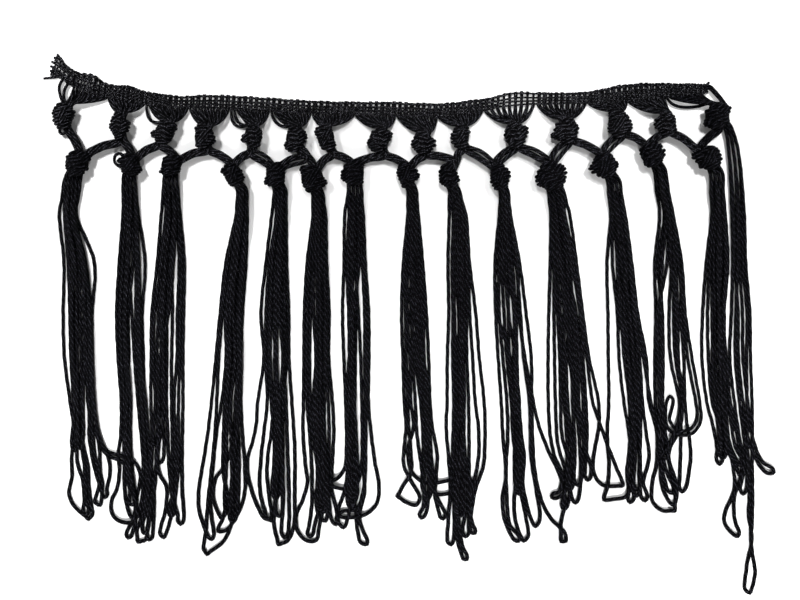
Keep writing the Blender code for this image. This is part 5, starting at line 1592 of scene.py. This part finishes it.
class Roots:
    """Where the runs of a tassel leave its knot."""

    @staticmethod
    def under(head: Head, ranked: list, slits: tuple) -> dict:
        """Points from inside a tassel's knot to its shoulder.

        Args:
            head: The tassel's knot, neck and shoulder.
            ranked: Keys of its runs, from left to right.
            slits: Gaps beside the outermost left and the outermost right run.

        Returns:
            Points for each key.
        """
        columns = math.ceil(len(ranked) / ROOT_ROWS)
        roots = {}
        for rank, key in enumerate(ranked):
            column = rank // ROOT_ROWS
            off = (column / (columns - 1) - 0.5) * (head.neck_w - CORD)
            low = head.left + CORD / 2 + (slits[0] if rank else 0.0)
            high = head.right - CORD / 2 - (slits[1] if rank < len(ranked) - 1 else 0.0)
            fine = (rank + 0.5) / len(ranked)
            shoulder = low + (high - low) * fine
            # The outermost runs swing out beside their slits
            if rank == 0:
                shoulder -= 0.3 * slits[0]
                off -= 0.35 * slits[0]
            if rank == len(ranked) - 1:
                shoulder += 0.3 * slits[1]
                off += 0.35 * slits[1]
            roots[key] = [
                (head.knot_x + off * 0.8, head.knot_y - 0.15 * head.knot_h),
                (head.neck_x + off, head.neck_y),
                (0.55 * (head.neck_x + off) + 0.45 * shoulder, (head.neck_y + SHOULDER_Y) / 2),
                (shoulder, SHOULDER_Y),
            ]
        return roots

    @staticmethod
    def beside(ranked: list) -> dict:
        """Points from inside the last fan's knot to the shoulder of its free loops.

        Args:
            ranked: Keys of the runs, from left to right.

        Returns:
            Points for each key.
        """
        roots = {}
        for rank, key in enumerate(ranked):
            points = [(x + step * (rank // 2), y) for x, y, step in FREE_ROOTS]
            x, y = points[-1]
            roots[key] = points[:-1] + [(x + FREE_SPREAD * (rank % 2), y)]
        return roots


def lay_loops(loops: tuple, head: Head | None, pile: Pile, slits: tuple = (0.0, 0.0)) -> list:
    """Lay looped cords on the pile, the one that comes out lowest first.

    Args:
        loops: The loops of one tassel.
        head: The knot that they hang from, or None for the last fan's free loops.
        pile: The cords that lie on the table already.
        slits: Gaps beside the outermost left and the outermost right run.

    Returns:
        One strand for each loop.
    """
    runs = [(loop.down[0], (n, "down")) for n, loop in enumerate(loops)]
    runs += [(loop.up[0], (n, "up")) for n, loop in enumerate(loops)]
    ranked = [key for _, key in sorted(runs)]
    roots = Roots.under(head, ranked, slits) if head else Roots.beside(ranked)
    waiting = []
    for n, loop in enumerate(loops):
        down = list(zip(loop.down, RUN_LEVELS))
        up = list(zip(loop.up, RUN_LEVELS))
        turn = round_foot([down[-1], *loop.turn, up[-1]], FOOT_RADIUS)
        plan = smooth(roots[n, "down"] + down + turn[1:-1] + up[::-1] + roots[n, "up"][::-1])
        s = lengths(plan)
        from_root = np.minimum(s, s[-1] - s)
        waiting.append((plan, CORD / 2 + ROOT_RISE * (1 - np.clip(from_root / ROOT_REACH, 0.0, 1.0))))
    strands = []
    while waiting:
        heights = [pile.lay(*route) for route in waiting]
        lowest = min(range(len(waiting)), key=lambda n: heights[n].mean() + 0.2 * heights[n].max())
        plan, _ = waiting.pop(lowest)
        line = np.column_stack([plan, heights[lowest]])
        pile.add(line)
        # Soft cords press each other flat, so the pile sinks, none lies quite straight,
        # and the loops' ends, which nothing presses, are fuller
        radius = np.interp(line[:, 1], END_LEVELS, (END_CORD / 2, CORD / 2))
        shown = line.copy()
        shown[:, 2] = radius + (line[:, 2] - CORD / 2) * SETTLE
        s = lengths(line)
        shown[:, 0] += WOBBLE * np.sin(s * 0.9 + 2.0 * line[0, 0]) * np.sin(s * 0.31 + line[-1, 0])
        strands.append(Strand(shown, radius))
    return strands


@dataclass
class Tassel:
    """A tassel: its knot and the uncut loops that hang from it."""

    number: int
    strands: list

    def build(self) -> None:
        """Build the tassel as one piece."""
        head = HEADS[self.number]
        piece = CordPiece(f"tassel_cords_{self.number + 1:02d}", f"tassel_{self.number + 1:02d}", DARKER_CORD_FINISH)
        piece.add(*self.strands)
        slant = Slant.FALLING if self.number % 2 else Slant.RISING
        seed = TASSEL_SEED + self.number
        Knot(head.knot_x, head.knot_y, head.knot_w, head.knot_h, head.lean, slant, seed).fill(piece)
        for number, points in KNOT_LOOPS:
            if number == self.number:
                piece.add(Strand.of(points, CORD / 2 * 0.95, 0.8))
        piece.build()


class Lamp(NamedTuple):
    """A spot lamp: places in metres, the full angle of its cone in degrees and its power in watts."""

    name: str
    place: tuple
    aim: tuple
    cone: float
    power: float
    blend: float = 1.0


# Side lamps throw the shadows round the knots, and front lamps whiten the table between the tassels
LAMPS = (
    Lamp("left_lamp", (-0.44, 0.34, 0.6), (-0.155, 0.05, 0.0), 25.0, 26.0),
    Lamp("right_lamp", (0.4, 0.36, 0.62), (0.165, 0.05, 0.0), 26.0, 26.0),
    Lamp("back_lamp", (0.0, 0.42, 0.6), (0.0, 0.24, 0.0), 24.0, 25.0),
    Lamp("middle_lamp", (0.015, 0.34, 0.6), (0.015, 0.085, 0.0), 17.0, 14.0),
    Lamp("left_front_lamp", (-0.2, -0.6, 0.75), (-0.1, -0.103, 0.0), 16.2, 42.0, 0.25),
    Lamp("right_front_lamp", (0.2, -0.6, 0.75), (0.1, -0.103, 0.0), 16.2, 42.0, 0.25),
)


@dataclass(frozen=True)
class Studio:
    """The pale table, the lights and the camera, with places in metres."""

    table_color: str = "#f6f6f6"
    table_roughness: float = 0.9
    table_specular: float = 0.2
    table_size: float = 2.5
    lens_mm: float = 200.0
    sensor_mm: float = 36.0
    # Painted light: how strongly the table glows below and above the heading's lower edge, the levels between
    # which that changes, and where and how strongly it glows past the lamps' pools
    painted_table_glow: tuple = (0.06, 0.42)
    painted_glow_edge: tuple = (0.094, 0.0985)
    painted_outer_glow: tuple = (0.18, 0.2, 0.97)
    lamp_radius: float = 0.055
    sky_strength: float = 0.06

    def table(self) -> None:
        """Lay a pale table under the trim, which glows as painted light though it is no lamp."""
        bm = bmesh.new()
        bmesh.ops.create_grid(bm, x_segments=1, y_segments=1, size=self.table_size)
        mesh = bpy.data.meshes.new("table_top")
        bm.to_mesh(mesh)
        bm.free()
        material = bpy.data.materials.new("white_table_with_painted_glow")
        material.use_nodes = True
        shader = material.node_tree.nodes["Principled BSDF"]
        shader.inputs["Base Color"].default_value = linear(self.table_color)
        shader.inputs["Roughness"].default_value = self.table_roughness
        shader.inputs["Specular IOR Level"].default_value = self.table_specular
        # Painted light: the table glows a little, and more so under the heading, so that the small holes show
        # it
        tree = material.node_tree
        coords = add_node(tree, "ShaderNodeTexCoord")
        parts = add_node(tree, "ShaderNodeSeparateXYZ", {0: coords.outputs["Object"]})
        glow = add_node(
            tree, "ShaderNodeMapRange", {"Value": parts.outputs[1]},
            From_Min=self.painted_glow_edge[0], From_Max=self.painted_glow_edge[1],
            To_Min=self.painted_table_glow[0], To_Max=self.painted_table_glow[1],
        )
        # Painted light: past the lamps' pools of light the table glows, so that it stays as white as it is
        # under them
        centre = {0: coords.outputs["Object"]}
        far = add_node(tree, "ShaderNodeVectorMath", centre, operation="LENGTH")
        near, past, level = self.painted_outer_glow
        outer = add_node(
            tree, "ShaderNodeMapRange", {"Value": far.outputs["Value"]},
            From_Min=near, From_Max=past, To_Max=level,
        )
        levels = {0: glow.outputs[0], 1: outer.outputs[0]}
        both = add_node(tree, "ShaderNodeMath", levels, operation="MAXIMUM")
        shader.inputs["Emission Color"].default_value = (1.0, 1.0, 1.0, 1.0)
        tree.links.new(both.outputs[0], shader.inputs["Emission Strength"])
        mesh.materials.append(material)
        item = bpy.data.objects.new("table_top", mesh)
        bpy.context.collection.objects.link(item)

    def light(self, lamp: Lamp) -> None:
        """Hang a lamp that fades out away from the part of the table that it looks at.

        Args:
            lamp: The lamp.
        """
        data = bpy.data.lights.new(lamp.name, "SPOT")
        data.shadow_soft_size = self.lamp_radius
        data.spot_size = math.radians(lamp.cone)
        data.spot_blend = lamp.blend
        data.energy = lamp.power
        item = bpy.data.objects.new(lamp.name, data)
        item.location = lamp.place
        item.rotation_mode = "QUATERNION"
        item.rotation_quaternion = (Vector(lamp.aim) - Vector(lamp.place)).to_track_quat("-Z", "Y")
        bpy.context.collection.objects.link(item)

    def sky(self) -> None:
        """Fill the room with soft white light."""
        world = bpy.data.worlds.new("white_room")
        world.use_nodes = True
        background = world.node_tree.nodes["Background"]
        background.inputs["Color"].default_value = (1.0, 1.0, 1.0, 1.0)
        background.inputs["Strength"].default_value = self.sky_strength
        bpy.context.scene.world = world

    def camera(self) -> None:
        """Look straight down, with the photograph's scale and centre."""
        data = bpy.data.cameras.new("camera")
        data.lens = self.lens_mm
        data.sensor_width = self.sensor_mm
        item = bpy.data.objects.new("camera", data)
        x = (PHOTO_SIZE[0] / 2 - ORIGIN_PIXEL[0]) * MM_PER_PIXEL - MIDDLE[0]
        y = (ORIGIN_PIXEL[1] - PHOTO_SIZE[1] / 2) * MM_PER_PIXEL - MIDDLE[1]
        distance = PHOTO_SIZE[0] * MM_PER_PIXEL * MM * self.lens_mm / self.sensor_mm
        item.location = (x * MM, y * MM, distance)
        bpy.context.collection.objects.link(item)
        bpy.context.scene.camera = item

    def set_up(self) -> None:
        """Set up the table, lights and camera."""
        self.table()
        self.sky()
        for lamp in LAMPS:
            self.light(lamp)
        self.camera()
        bpy.context.scene.view_settings.view_transform = "Standard"


def main() -> None:
    """Build every piece, the table, the lights and the camera."""
    logging.basicConfig(level=logging.INFO, format="%(message)s")
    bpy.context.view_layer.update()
    for finish in (DARKER_CORD_FINISH, LIGHTER_CORD_FINISH, YARN_FINISH):
        MATERIALS[finish.name] = finish.material()
    heading = Heading()
    heading.build()
    pile = Pile()
    for k, loops in enumerate(TASSELS):
        Tassel(k, lay_loops(loops, HEADS[k], pile, SLITS.get(k, (0.0, 0.0)))).build()
    free = lay_loops(FREE_LOOPS, None, pile)
    for k in range(len(FANS)):
        FanKnot(k, heading, free if k == len(FANS) - 1 else []).build()
    Studio().set_up()


if __name__ == "__main__":
    main()
